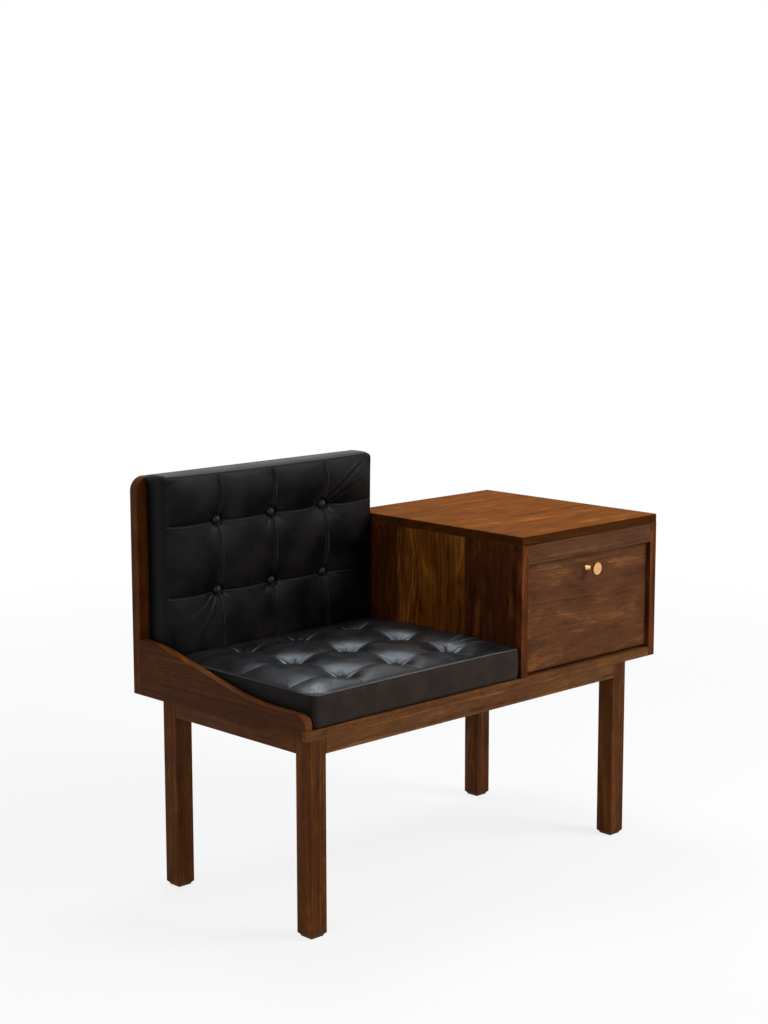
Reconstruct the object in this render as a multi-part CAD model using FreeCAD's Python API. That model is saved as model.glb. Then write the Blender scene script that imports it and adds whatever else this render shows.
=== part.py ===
import FreeCAD, Part

# Telephone bench: a tufted seat and back on a stained hardwood frame, beside a small cabinet
# with a drop flap. All sizes are in millimetres. The model is laid out with X from the left
# outer face, Y from the front plane towards the back and Z up from the floor. At the end every
# piece is moved so that the origin lies under the middle of the whole bench, on the floor.

import math
import os

Vector = FreeCAD.Vector

# Overall sizes
WIDTH = 950.0
DEPTH = 465.0
SEAT_BOARD_TOP = 374.0
CABINET_TOP = 646.0
CABINET_WIDTH = 403.0
BACK_TOP = 766.0

# Board thicknesses
SEAT_BOARD_T = 18.0
SIDE_T = 18.0
PANEL_T = 18.0
CABINET_TOP_T = 18.0
BACK_T = 20.0
CABINET_BACK_T = 6.0

# Legs, pads under them and the rails between them
LEG = 38.0
LEG_INSET_LEFT = 8.4
LEG_INSET_RIGHT = 90.6
LEG_INSET_BACK = 57.5
LEG_ARRIS = 2.5
FOOT_CHAMFER = 4.0
PAD_T = 2.5
PAD_INSET = 5.0
APRON_H = 27.5
APRON_T = 20.0
TENON_T = 9.0
TENON_H = 17.0
TENON_L = 18.0

# Corner blocks inside the leg frame
BLOCK_W = 22.0
BLOCK_H = 24.0
BLOCK_LEG_GAP = 0.7

# Front lipping of the seat board and the scrolled left side
LIPPING_T = 10.0
SIDE_FRONT_RISE = 27.0
SIDE_SCROLL_RISE = 60.0
SIDE_SETBACK = 3.0
SIDE_NOSE_R = 20.0
SCROLL_ANGLE = 12.5
SCROLL_HOLLOW_RUN = 130.0
SCROLL_SWELL_RUN = 95.0
BACK_CORNER_R = 27.0
EDGE_ROUND = 2.0
EDGE_EASE = 0.8

# Loose tongues, glued into grooves where two boards meet
TONGUE_T = 6.0
TONGUE_IN_FACE = 8.0
TONGUE_IN_EDGE = 12.0
TONGUE_END_MARGIN = 55.0
BACK_TONGUE_L = 40.0
BACK_TONGUE_RISE = 22.0

# Cabinet rail above the flap and the thin back in its rebate
RAIL_H = 37.5
RAIL_T = 18.0
RAIL_TENON_L = 10.0
RAIL_TENON_H = 22.0
RAIL_TENON_T = 8.0
REBATE_W = 8.0

# Drop flap and the pivots in its two ends
FLAP_T = 18.0
FLAP_RECESS = 9.0
FLAP_SIDE_GAP = 2.0
FLAP_BOTTOM_GAP = 2.0
FLAP_TOP_GAP = 1.5
PIVOT_INSET = 7.0
PIVOT_D = 5.0
PIVOT_RUNNING_GAP = 0.05
PIVOT_IN_PANEL = 12.0
PIVOT_IN_FLAP = 10.0
BUSH_D = 8.0
BUSH_L = 12.0
BUSH_PROUD = 1.7

# Turned knob and its screw
KNOB_BELOW_FLAP_TOP = 27.0
KNOB_REACH = 24.5
KNOB_BASE_D = 16.0
KNOB_CONE_L = 9.0
KNOB_NECK_D = 6.4
KNOB_HEAD_D = 24.0
KNOB_HEAD_T = 3.6
KNOB_SCREW_D = 4.0
KNOB_SCREW_BITE = 10.0
KNOB_SCREW_HEAD_D = 8.5
KNOB_SCREW_HEAD_H = 2.2

# Magnetic catch on the left panel and its strike plate on the flap
CATCH_BELOW_FLAP_TOP = 23.0
CATCH_W = 13.0
CATCH_DEPTH = 26.0
CATCH_H = 20.0
CATCH_EAR_H = 10.0
CATCH_EAR_T = 2.5
CATCH_EAR_INSET = 5.0
MAGNET_T = 6.8
MAGNET_H = 12.0
MAGNET_DEPTH = 19.0
POLE_T = 1.2
POLE_PROUD = 0.5
STRIKE_T = 1.2
STRIKE_W = 18.0
STRIKE_H = 20.0
CATCH_TOUCH_GAP = 0.3

# Slotted stay that holds the open flap level
STAY_RADIUS = 130.0
STAY_PIN_BACK = 10.0
STAY_CLOSED_ANGLE = 20.0
STAY_SWING = 90.0
STAY_ARM_W = 12.0
STAY_ARM_T = 2.0
STAY_ARM_FROM_PANEL = 7.0
STAY_END = 9.0
STAY_SIDE_GAP = 0.3
STUD_D = 5.0
STUD_SLOT_GAP = 0.2
STUD_SHOULDER_D = 8.0
STUD_HEAD_D = 9.0
STUD_HEAD_T = 1.8
STUD_PLATE_T = 1.5
STUD_PLATE_W = 14.0
STUD_PLATE_L = 34.0
RIVET_D = 4.0
RIVET_HEAD_D = 7.0
RIVET_HEAD_T = 1.2
BRACKET_T = 2.0
BRACKET_FOOT_L = 24.0
BRACKET_W = 14.0

# Seat cushion: sewn blind tufts in a grid
CUSHION_GAP = 0.6
CUSHION_FRONT_SETBACK = 1.5
SEAT_EDGE_H = 62.0
SEAT_CROWN = 17.0
SEAT_SEAM_DROP = 7.0
SEAT_TUFT_DROP = 17.0
SEAT_TUFT_FIRST_X = 127.0
SEAT_TUFT_STEP_X = 137.0
SEAT_TUFT_FIRST_Y = 66.0
SEAT_TUFT_STEP_Y = 132.0
TUFTS_ACROSS = 3
SEAT_TUFT_ROWS = 3

# Back cushion: covered buttons in a grid, on two strips of hook and loop tape
BACK_CUSHION_TOP = 771.0
BACK_EDGE_H = 56.0
BACK_CROWN = 9.0
BACK_SEAM_DROP = 4.0
BACK_TUFT_DROP = 14.0
BACK_TUFT_FIRST_X = 127.0
BACK_TUFT_STEP_X = 134.0
BACK_ROW_BELOW_TOP = 93.0
BACK_ROW_STEP = 134.5
BACK_TUFT_ROWS = 2
BUTTON_D = 16.5
BUTTON_FLAT_D = 7.0
BUTTON_RIM_T = 2.5
BUTTON_DOME = 3.0
BUTTON_GAP = 0.4
BUTTON_SIDES = 16
TAPE_T = 2.0
TAPE_W = 50.0
TAPE_L = 250.0
TAPE_INSET = 90.0

# Cushion edges: rounded corners in plan and sides drawn in between them
CUSHION_CORNER_R = 14.0
SIDE_DRAW = 2.5
SIDE_TUCK = 3.0
SEAM_PUCKER = 2.0
ROW_STATIONS = (0.0, 0.12, 0.35, 0.65, 0.88, 1.0)
BORDER_SWELL = 1.5

# Glue and seating clearances
GLUE_GAP = 0.15
HOLE_GAP = 0.1
CUT_OVERRUN = 1.0

# Places that follow from the sizes above
SEAT_BOARD_BOTTOM = SEAT_BOARD_TOP - SEAT_BOARD_T
SIDE_FRONT_TOP = SEAT_BOARD_TOP + SIDE_FRONT_RISE
SIDE_BACK_TOP = SIDE_FRONT_TOP + SIDE_SCROLL_RISE
CABINET_LEFT = WIDTH - CABINET_WIDTH
INSIDE_LEFT = CABINET_LEFT + PANEL_T
INSIDE_RIGHT = WIDTH - PANEL_T
INSIDE_TOP = CABINET_TOP - CABINET_TOP_T
LEG_LEFT = LEG_INSET_LEFT
LEG_RIGHT = WIDTH - LEG_INSET_RIGHT - LEG
LEG_BACK = DEPTH - LEG_INSET_BACK - LEG
RAIL_BOTTOM = INSIDE_TOP - RAIL_H
FLAP_LEFT = INSIDE_LEFT + FLAP_SIDE_GAP
FLAP_RIGHT = INSIDE_RIGHT - FLAP_SIDE_GAP
FLAP_BOTTOM = SEAT_BOARD_TOP + FLAP_BOTTOM_GAP
FLAP_TOP = RAIL_BOTTOM - FLAP_TOP_GAP
FLAP_BACK = FLAP_RECESS + FLAP_T
PIVOT_Y = FLAP_RECESS + PIVOT_INSET
PIVOT_Z = FLAP_BOTTOM + PIVOT_INSET
KNOB_X = (FLAP_LEFT + FLAP_RIGHT) / 2
KNOB_Z = FLAP_TOP - KNOB_BELOW_FLAP_TOP
KNOB_FRONT = FLAP_RECESS - KNOB_REACH
CATCH_Z = FLAP_TOP - CATCH_BELOW_FLAP_TOP
STRIKE_BACK = FLAP_BACK + STRIKE_T
CATCH_FRONT = STRIKE_BACK + CATCH_TOUCH_GAP + POLE_PROUD
STAY_ARM_X = INSIDE_RIGHT - STAY_ARM_FROM_PANEL
BACK_CUSHION_FRONT = DEPTH - TAPE_T - GLUE_GAP - BACK_EDGE_H - BACK_CROWN
ORIGIN = Vector(WIDTH / 2, (KNOB_FRONT + DEPTH + BACK_T) / 2, 0)


def box(x0, x1, y0, y1, z0, z1):
    """A block between two corners."""
    return Part.makeBox(x1 - x0, y1 - y0, z1 - z0, Vector(x0, y0, z0))


def rod(start, along, diameter, length):
    """A round bar from a point along a direction."""
    return Part.makeCylinder(diameter / 2, length, start, along)


def join(shapes):
    """Several solids fused into one."""
    first = shapes[0]
    return first.fuse(shapes[1:]) if len(shapes) > 1 else first


def group(shapes):
    """Separate solids kept side by side in one piece of the list."""
    return Part.makeCompound(shapes)


def edges_where(shape, test):
    """The straight or curved edges whose ends both pass a test."""
    return [e for e in shape.Edges if all(test(v.Point) for v in e.Vertexes)]


def near(value, target):
    """Whether two lengths are the same within a hundredth."""
    return abs(value - target) < 0.01


def flat_face(points):
    """A plane face through a closed chain of points."""
    return Part.Face(Part.makePolygon(points + [points[0]]))


def turned(profile, start, along, across):
    """A solid of revolution: pairs of (distance along the axis, radius), closed on the axis."""
    points = [start + along * distance + across * radius for distance, radius in profile]
    return flat_face(points).revolve(start, along, 360)


# Leg frame


def leg_corners():
    """Each leg's name, low corner and which way the frame's inside lies."""
    return [
        ("leg_front_left", LEG_LEFT, 0.0, 1, 1),
        ("leg_front_right", LEG_RIGHT, 0.0, -1, 1),
        ("leg_back_left", LEG_LEFT, LEG_BACK, 1, -1),
        ("leg_back_right", LEG_RIGHT, LEG_BACK, -1, -1),
    ]


def tenon_z():
    """Lowest and highest point of the tenons on the leg frame's rails."""
    low = SEAT_BOARD_BOTTOM - APRON_H / 2 - TENON_H / 2
    return low, low + TENON_H


def inner_strip(low, inward, size, thickness, margin):
    """The span of a centred tenon on a rail that is flush with the leg's outer face."""
    outer = low if inward > 0 else low + size
    middle = outer + inward * APRON_T / 2
    return middle - thickness / 2 - margin, middle + thickness / 2 + margin


def mortises(x, y, inward_x, inward_y):
    """The two blind mortises of a leg, one for each rail that meets it."""
    z0, z1 = tenon_z()
    z0 -= GLUE_GAP
    z1 += GLUE_GAP
    deep = TENON_L + GLUE_GAP
    across_y = inner_strip(y, inward_y, LEG, TENON_T, GLUE_GAP)
    face_x = x + LEG if inward_x > 0 else x
    span_x = sorted((face_x - inward_x * deep, face_x + inward_x * CUT_OVERRUN))
    across_x = inner_strip(x, inward_x, LEG, TENON_T, GLUE_GAP)
    face_y = y + LEG if inward_y > 0 else y
    span_y = sorted((face_y - inward_y * deep, face_y + inward_y * CUT_OVERRUN))
    along_x = box(span_x[0], span_x[1], across_y[0], across_y[1], z0, z1)
    along_y = box(across_x[0], across_x[1], span_y[0], span_y[1], z0, z1)
    return along_x, along_y


def rounded_square(x, y, side, radius, z):
    """The outline of a square with round corners, at one height."""
    edges = []
    bow = radius * (1 - math.sin(math.radians(45)))
    turns = [(x + side, y, -1, 1), (x + side, y + side, -1, -1), (x, y + side, 1, -1), (x, y, 1, 1)]
    last = Vector(x + radius, y, z)
    for index, (cx, cy, sx, sy) in enumerate(turns):
        along_x = Vector(cx + sx * radius, cy, z)
        along_y = Vector(cx, cy + sy * radius, z)
        start, end = (along_x, along_y) if index % 2 == 0 else (along_y, along_x)
        middle = Vector(cx + sx * bow, cy + sy * bow, z)
        edges.append(Part.makeLine(last, start))
        edges.append(Part.Arc(start, middle, end).toShape())
        last = end
    return Part.Wire(edges)


def leg(x, y, inward_x, inward_y):
    """A square leg with eased arrises, a chamfered foot and two mortises at its head."""
    shoulder = PAD_T + FOOT_CHAMFER
    sole = rounded_square(x + FOOT_CHAMFER, y + FOOT_CHAMFER, LEG - 2 * FOOT_CHAMFER, LEG_ARRIS, PAD_T)
    ankle = rounded_square(x, y, LEG, LEG_ARRIS, shoulder)
    foot = Part.makeLoft([sole, ankle], True, True)
    post = Part.Face(ankle).extrude(Vector(0, 0, SEAT_BOARD_BOTTOM - shoulder)).fuse(foot)
    for mortise in mortises(x, y, inward_x, inward_y):
        post = post.cut(mortise)
    return post


def foot_pads():
    """A thin felt pad under each leg."""
    pads = []
    for _, x, y, _, _ in leg_corners():
        low_x = x + PAD_INSET
        low_y = y + PAD_INSET
        side = LEG - 2 * PAD_INSET
        pads.append(box(low_x, low_x + side, low_y, low_y + side, 0, PAD_T))
    return group(pads)


def apron_along_x(y, inward_y):
    """A rail between two legs along the bench, with a tenon at each end."""
    x0 = LEG_LEFT + LEG
    x1 = LEG_RIGHT
    face = y if inward_y > 0 else y + LEG - APRON_T
    z0, z1 = tenon_z()
    rail = box(x0, x1, face, face + APRON_T, SEAT_BOARD_BOTTOM - APRON_H, SEAT_BOARD_BOTTOM)
    lower = edges_where(rail, lambda p: near(p.z, SEAT_BOARD_BOTTOM - APRON_H))
    rail = rail.makeFillet(EDGE_EASE, [e for e in lower if near(e.Vertexes[0].Y, e.Vertexes[1].Y)])
    t0, t1 = inner_strip(y, inward_y, LEG, TENON_T, 0)
    return rail.fuse(box(x0 - TENON_L, x1 + TENON_L, t0, t1, z0, z1))


def apron_along_y(x, inward_x):
    """A rail between two legs from front to back, with a tenon at each end."""
    y0 = LEG
    y1 = LEG_BACK
    face = x if inward_x > 0 else x + LEG - APRON_T
    z0, z1 = tenon_z()
    rail = box(face, face + APRON_T, y0, y1, SEAT_BOARD_BOTTOM - APRON_H, SEAT_BOARD_BOTTOM)
    lower = edges_where(rail, lambda p: near(p.z, SEAT_BOARD_BOTTOM - APRON_H))
    rail = rail.makeFillet(EDGE_EASE, [e for e in lower if near(e.Vertexes[0].X, e.Vertexes[1].X)])
    t0, t1 = inner_strip(x, inward_x, LEG, TENON_T, 0)
    return rail.fuse(box(t0, t1, y0 - TENON_L, y1 + TENON_L, z0, z1))


def block_places():
    """Each corner block's inner corner of the rails and the way the frame's inside lies."""
    places = []
    for _, x, y, inward_x, inward_y in leg_corners():
        corner_x = x + APRON_T if inward_x > 0 else x + LEG - APRON_T
        corner_y = y + APRON_T if inward_y > 0 else y + LEG - APRON_T
        places.append((corner_x, corner_y, inward_x, inward_y))
    return places


def corner_blocks():
    """Four braces set across the frame's corners, each cut to two rails and a leg's arris."""
    blocks = []
    near_side = 2 * (LEG - APRON_T) + BLOCK_LEG_GAP
    far_side = near_side + BLOCK_W * math.sqrt(2)
    z0 = SEAT_BOARD_BOTTOM - BLOCK_H
    for corner_x, corner_y, inward_x, inward_y in block_places():
        plan = [(near_side, 0), (far_side, 0), (0, far_side), (0, near_side)]
        points = [Vector(corner_x + inward_x * a, corner_y + inward_y * b, z0) for a, b in plan]
        blocks.append(flat_face(points).extrude(Vector(0, 0, BLOCK_H)))
    return group(blocks)


# Tongues


def tongue_span(across, along, up):
    """The block of a tongue from its spans in X, Y and Z, or of its groove with a margin."""
    return across[0], across[1], along[0], along[1], up[0], up[1]


def centred(middle):
    """The span of a tongue's thickness about the middle of a board."""
    return middle - TONGUE_T / 2, middle + TONGUE_T / 2


def reach(face, into_edge):
    """The span of a tongue across a joint: a short way into a face, the rest into an edge."""
    return tuple(sorted((face - into_edge * TONGUE_IN_FACE, face + into_edge * TONGUE_IN_EDGE)))


def tongue_places():
    """Every tongue's block by the name of its joint."""
    run = (TONGUE_END_MARGIN, DEPTH - TONGUE_END_MARGIN)
    board_z = centred(SEAT_BOARD_BOTTOM + SEAT_BOARD_T / 2)
    left_panel = centred(CABINET_LEFT + PANEL_T / 2)
    right_panel = centred(WIDTH - PANEL_T / 2)
    beside_rebate = centred(CABINET_LEFT + (PANEL_T - REBATE_W) / 2)
    seat_run = (TONGUE_END_MARGIN, CABINET_LEFT - TONGUE_END_MARGIN)
    side_low = SEAT_BOARD_TOP + BACK_TONGUE_RISE
    panel_run = (SEAT_BOARD_TOP + TONGUE_END_MARGIN, INSIDE_TOP - TONGUE_END_MARGIN)
    return {
        "seat_left": tongue_span(reach(SIDE_T, 1), run, board_z),
        "seat_right": tongue_span(reach(INSIDE_RIGHT, -1), run, board_z),
        "panel_foot": tongue_span(left_panel, run, reach(SEAT_BOARD_TOP, 1)),
        "top_left": tongue_span(left_panel, run, reach(INSIDE_TOP, -1)),
        "top_right": tongue_span(right_panel, run, reach(INSIDE_TOP, -1)),
        "back_seat": tongue_span(seat_run, reach(DEPTH, -1), board_z),
        "back_side": tongue_span(centred(SIDE_T / 2), reach(DEPTH, -1), (side_low, side_low + BACK_TONGUE_L)),
        "back_cabinet": tongue_span(beside_rebate, reach(DEPTH, -1), panel_run),
    }


def tongues(names):
    """The loose tongues of the named joints."""
    places = tongue_places()
    return group([box(*places[name]) for name in names])


def grooved(shape, names):
    """A board with the grooves of the named joints, a glue gap larger all round."""
    places = tongue_places()
    for name in names:
        x0, x1, y0, y1, z0, z1 = places[name]
        gap = GLUE_GAP
        shape = shape.cut(box(x0 - gap, x1 + gap, y0 - gap, y1 + gap, z0 - gap, z1 + gap))
    return shape


# Seat board, side and back


def seat_board():
    """The board that carries seat and cabinet, between the side and the cabinet's right panel."""
    board = box(SIDE_T, INSIDE_RIGHT, LIPPING_T, DEPTH, SEAT_BOARD_BOTTOM, SEAT_BOARD_TOP)
    return grooved(board, ["seat_left", "seat_right", "panel_foot", "back_seat"])


def front_lipping():
    """The solid strip glued along the board's front edge, over the side's end on the left."""
    strip = box(0, INSIDE_RIGHT, 0, LIPPING_T, SEAT_BOARD_BOTTOM, SEAT_BOARD_TOP)
    front = edges_where(strip, lambda p: near(p.y, 0))
    return strip.makeFillet(EDGE_EASE, front)


def scroll_points():
    """The side's outline in depth and height, as corners and the points on its arcs."""
    angle = math.radians(SCROLL_ANGLE)
    swell_r = SCROLL_SWELL_RUN / math.sin(angle)
    hollow_r = SCROLL_HOLLOW_RUN / math.sin(angle)
    swell_drop = swell_r * (1 - math.cos(angle))
    hollow_drop = hollow_r * (1 - math.cos(angle))
    slope_drop = SIDE_BACK_TOP - SIDE_FRONT_TOP - swell_drop - hollow_drop
    slope_run = slope_drop / math.tan(angle)
    swell_end = DEPTH - SCROLL_SWELL_RUN
    slope_end = swell_end - slope_run
    hollow_end = slope_end - SCROLL_HOLLOW_RUN
    half = angle / 2
    nose = SIDE_SETBACK + SIDE_NOSE_R
    lean = SIDE_NOSE_R * math.sin(math.radians(45))
    return {
        "back": (DEPTH, SIDE_BACK_TOP),
        "swell_mid": (DEPTH - swell_r * math.sin(half), SIDE_BACK_TOP - swell_r * (1 - math.cos(half))),
        "swell_end": (swell_end, SIDE_BACK_TOP - swell_drop),
        "slope_end": (slope_end, SIDE_FRONT_TOP + hollow_drop),
        "hollow_mid": (
            hollow_end + hollow_r * math.sin(half),
            SIDE_FRONT_TOP + hollow_r * (1 - math.cos(half)),
        ),
        "hollow_end": (hollow_end, SIDE_FRONT_TOP),
        "nose_top": (nose, SIDE_FRONT_TOP),
        "nose_mid": (nose - lean, SIDE_FRONT_TOP - SIDE_NOSE_R + lean),
        "nose_front": (SIDE_SETBACK, SIDE_FRONT_TOP - SIDE_NOSE_R),
        "heel": (SIDE_SETBACK, SEAT_BOARD_TOP),
        "notch": (LIPPING_T, SEAT_BOARD_TOP),
        "foot_front": (LIPPING_T, SEAT_BOARD_BOTTOM),
        "foot_back": (DEPTH, SEAT_BOARD_BOTTOM),
    }


def scroll_outline():
    """The closed outline of the scrolled side at its outer face."""
    at = {name: Vector(0, y, z) for name, (y, z) in scroll_points().items()}
    edges = [
        Part.Arc(at["back"], at["swell_mid"], at["swell_end"]).toShape(),
        Part.makeLine(at["swell_end"], at["slope_end"]),
        Part.Arc(at["slope_end"], at["hollow_mid"], at["hollow_end"]).toShape(),
        Part.makeLine(at["hollow_end"], at["nose_top"]),
        Part.Arc(at["nose_top"], at["nose_mid"], at["nose_front"]).toShape(),
        Part.makeLine(at["nose_front"], at["heel"]),
        Part.makeLine(at["heel"], at["notch"]),
        Part.makeLine(at["notch"], at["foot_front"]),
        Part.makeLine(at["foot_front"], at["foot_back"]),
        Part.makeLine(at["foot_back"], at["back"]),
    ]
    return Part.Wire(edges)


def scroll_side():
    """The low left side with its S-curved top and rounded nose, arrises softened by hand."""
    side = Part.Face(scroll_outline()).extrude(Vector(SIDE_T, 0, 0))
    rim = []
    for edge in side.Edges:
        flat = near(edge.Vertexes[0].X, edge.Vertexes[-1].X)
        upper = all(v.Z > SEAT_BOARD_TOP + 0.5 * EDGE_ROUND for v in edge.Vertexes)
        if flat and upper and not all(near(v.Y, DEPTH) for v in edge.Vertexes):
            rim.append(edge)
    side = side.makeFillet(EDGE_ROUND, rim)
    return grooved(side, ["seat_left", "back_side"])


def back_panel():
    """The upright back board with round upper corners, behind seat board, side and cabinet."""
    right = CABINET_LEFT + PANEL_T
    panel = box(0, right, DEPTH, DEPTH + BACK_T, SEAT_BOARD_BOTTOM, BACK_TOP)
    corners = [e for e in edges_where(panel, lambda p: near(p.z, BACK_TOP)) if near_depth_edge(e)]
    panel = panel.makeFillet(BACK_CORNER_R, corners)
    rim = [e for e in panel.Edges if on_panel_rim(e)]
    panel = panel.makeFillet(EDGE_ROUND, rim)
    return grooved(panel, ["back_seat", "back_side", "back_cabinet"])


def near_depth_edge(edge):
    """Whether an edge runs straight from front to back."""
    first, last = edge.Vertexes[0], edge.Vertexes[-1]
    return not near(first.Y, last.Y)


def on_panel_rim(edge):
    """Whether an edge lies round the back panel's front or rear face, above its foot."""
    first, last = edge.Vertexes[0], edge.Vertexes[-1]
    same_face = near(first.Y, last.Y)
    at_foot = near(first.Z, SEAT_BOARD_BOTTOM) and near(last.Z, SEAT_BOARD_BOTTOM)
    return same_face and not at_foot


# Cabinet


def cabinet_back_box(margin):
    """The thin back's block, made larger all round by a margin for its rebate."""
    return box(
        INSIDE_LEFT - REBATE_W + GLUE_GAP - margin,
        INSIDE_RIGHT + REBATE_W - GLUE_GAP + margin,
        DEPTH - CABINET_BACK_T - margin,
        DEPTH,
        SEAT_BOARD_TOP,
        INSIDE_TOP + REBATE_W - GLUE_GAP + margin,
    )


def rebate_tool():
    """The rebate for the thin back, open at the rear."""
    tool = cabinet_back_box(GLUE_GAP)
    slab = box(
        INSIDE_LEFT - REBATE_W,
        INSIDE_RIGHT + REBATE_W,
        DEPTH - CABINET_BACK_T,
        DEPTH + CUT_OVERRUN,
        SEAT_BOARD_TOP,
        INSIDE_TOP + REBATE_W,
    )
    return tool.fuse(slab)


def rail_tenons(margin):
    """The rail's stub tenon bar, made larger by a margin for its mortises."""
    middle_z = INSIDE_TOP - RAIL_H / 2
    return box(
        INSIDE_LEFT - RAIL_TENON_L - margin,
        INSIDE_RIGHT + RAIL_TENON_L + margin,
        RAIL_T / 2 - RAIL_TENON_T / 2 - margin,
        RAIL_T / 2 + RAIL_TENON_T / 2 + margin,
        middle_z - RAIL_TENON_H / 2 - margin,
        middle_z + RAIL_TENON_H / 2 + margin,
    )


def pivot_bar(margin):
    """The line of both flap pivots as they lie in the panels."""
    start = Vector(INSIDE_LEFT - PIVOT_IN_PANEL - margin, PIVOT_Y, PIVOT_Z)
    length = INSIDE_RIGHT - INSIDE_LEFT + 2 * (PIVOT_IN_PANEL + margin)
    return rod(start, Vector(1, 0, 0), PIVOT_D + 2 * margin, length)


def outer_arrises(shape, faces):
    """The edges of a board that lie on one of its named outer planes, given as (axis, value)."""
    found = []
    for edge in shape.Edges:
        first, last = edge.Vertexes[0].Point, edge.Vertexes[-1].Point
        hits = [axis for axis, value in faces if near(getattr(first, axis), value)]
        hits = [axis for axis in hits if near(getattr(first, axis), getattr(last, axis))]
        if len(hits) > 1:
            found.append(edge)
    return found


def cabinet_left_panel():
    """The panel between seat and cabinet, which stands on the seat board."""
    panel = box(CABINET_LEFT, INSIDE_LEFT, 0, DEPTH, SEAT_BOARD_TOP, INSIDE_TOP)
    front = edges_where(panel, lambda p: near(p.y, 0))
    panel = panel.makeFillet(EDGE_EASE, [e for e in front if near(e.Vertexes[0].X, e.Vertexes[1].X)])
    panel = panel.cut(rebate_tool()).cut(rail_tenons(GLUE_GAP)).cut(pivot_bar(HOLE_GAP))
    return grooved(panel, ["panel_foot", "top_left", "back_cabinet"])


def cabinet_right_panel():
    """The outer panel, which runs down past the end of the seat board."""
    panel = box(INSIDE_RIGHT, WIDTH, 0, DEPTH, SEAT_BOARD_BOTTOM, INSIDE_TOP)
    corner = [("x", WIDTH), ("y", 0.0), ("y", DEPTH), ("z", SEAT_BOARD_BOTTOM)]
    panel = panel.makeFillet(EDGE_EASE, outer_arrises(panel, corner))
    panel = panel.cut(rebate_tool()).cut(rail_tenons(GLUE_GAP)).cut(pivot_bar(HOLE_GAP))
    return grooved(panel, ["seat_right", "top_right"])


def cabinet_top():
    """The top, laid over both panels, with its outer arrises rounded."""
    top = box(CABINET_LEFT, WIDTH, 0, DEPTH, INSIDE_TOP, CABINET_TOP)
    planes = [("x", CABINET_LEFT), ("x", WIDTH), ("y", 0.0), ("y", DEPTH), ("z", CABINET_TOP)]
    top = top.makeFillet(EDGE_ROUND, outer_arrises(top, planes))
    top = top.cut(rebate_tool())
    return grooved(top, ["top_left", "top_right"])


def cabinet_back():
    """The thin back that closes the cabinet in its rebate."""
    return cabinet_back_box(0)


def top_rail():
    """The fixed rail above the flap, with a stub tenon into each panel."""
    rail = box(INSIDE_LEFT, INSIDE_RIGHT, 0, RAIL_T, RAIL_BOTTOM, INSIDE_TOP)
    front = edges_where(rail, lambda p: near(p.y, 0))
    rail = rail.makeFillet(EDGE_EASE, front)
    return rail.fuse(rail_tenons(0))


# Flap, pivots and knob


def flap():
    """The drop flap: its lower front edge is a quarter round about the pivot line."""
    panel = box(FLAP_LEFT, FLAP_RIGHT, FLAP_RECESS, FLAP_BACK, FLAP_BOTTOM, FLAP_TOP)
    lower = edges_where(panel, lambda p: near(p.y, FLAP_RECESS) and near(p.z, FLAP_BOTTOM))
    panel = panel.makeFillet(PIVOT_INSET, lower)
    ease = [e for e in panel.Edges if eased_on_flap(e)]
    panel = panel.makeFillet(EDGE_EASE, ease)
    for x, inward in ((FLAP_LEFT, 1), (FLAP_RIGHT, -1)):
        mouth = Vector(x - inward * CUT_OVERRUN, PIVOT_Y, PIVOT_Z)
        deep = BUSH_L + HOLE_GAP + CUT_OVERRUN
        panel = panel.cut(rod(mouth, Vector(inward, 0, 0), BUSH_D + 2 * HOLE_GAP, deep))
    hole_d = KNOB_SCREW_D + 4 * HOLE_GAP
    start = Vector(KNOB_X, FLAP_RECESS - CUT_OVERRUN, KNOB_Z)
    return panel.cut(rod(start, Vector(0, 1, 0), hole_d, FLAP_T + 2 * CUT_OVERRUN))


def eased_on_flap(edge):
    """Whether an edge is the flap's top front arris or the top of an upright front arris."""
    first, last = edge.Vertexes[0], edge.Vertexes[-1]
    front = near(first.Y, FLAP_RECESS) and near(last.Y, FLAP_RECESS)
    return front and near(first.Z, FLAP_TOP) and near(last.Z, FLAP_TOP)


def pivot_pins():
    """The two brass pins on which the flap turns, driven into the panels."""
    reach = PIVOT_IN_PANEL + FLAP_SIDE_GAP + PIVOT_IN_FLAP
    left = Vector(INSIDE_LEFT - PIVOT_IN_PANEL, PIVOT_Y, PIVOT_Z)
    right = Vector(INSIDE_RIGHT + PIVOT_IN_PANEL, PIVOT_Y, PIVOT_Z)
    return group([rod(left, Vector(1, 0, 0), PIVOT_D, reach), rod(right, Vector(-1, 0, 0), PIVOT_D, reach)])


def pivot_bushes():
    """A brass bush in each end of the flap; it stands proud and keeps the side gap."""
    bushes = []
    inner = PIVOT_D / 2 + PIVOT_RUNNING_GAP
    for x, inward in ((FLAP_LEFT, 1), (FLAP_RIGHT, -1)):
        profile = [
            (-BUSH_PROUD, inner),
            (-BUSH_PROUD, BUSH_D / 2),
            (BUSH_L, BUSH_D / 2),
            (BUSH_L, inner),
        ]
        bushes.append(turned(profile, Vector(x, PIVOT_Y, PIVOT_Z), Vector(inward, 0, 0), Vector(0, 1, 0)))
    return group(bushes)


def knob():
    """A turned knob: flared foot, thin neck and a flat head."""
    neck = KNOB_NECK_D / 2
    head = KNOB_HEAD_D / 2
    head_start = KNOB_REACH - KNOB_HEAD_T
    profile = [
        (0, 0),
        (0, KNOB_BASE_D / 2),
        (KNOB_CONE_L, neck),
        (head_start, neck),
        (head_start, head),
        (KNOB_REACH, head),
        (KNOB_REACH, 0),
    ]
    foot = Vector(KNOB_X, FLAP_RECESS, KNOB_Z)
    body = turned(profile, foot, Vector(0, -1, 0), Vector(1, 0, 0))
    hole = rod(foot, Vector(0, -1, 0), KNOB_SCREW_D + 2 * HOLE_GAP, KNOB_SCREW_BITE + HOLE_GAP)
    return body.cut(hole)


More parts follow.
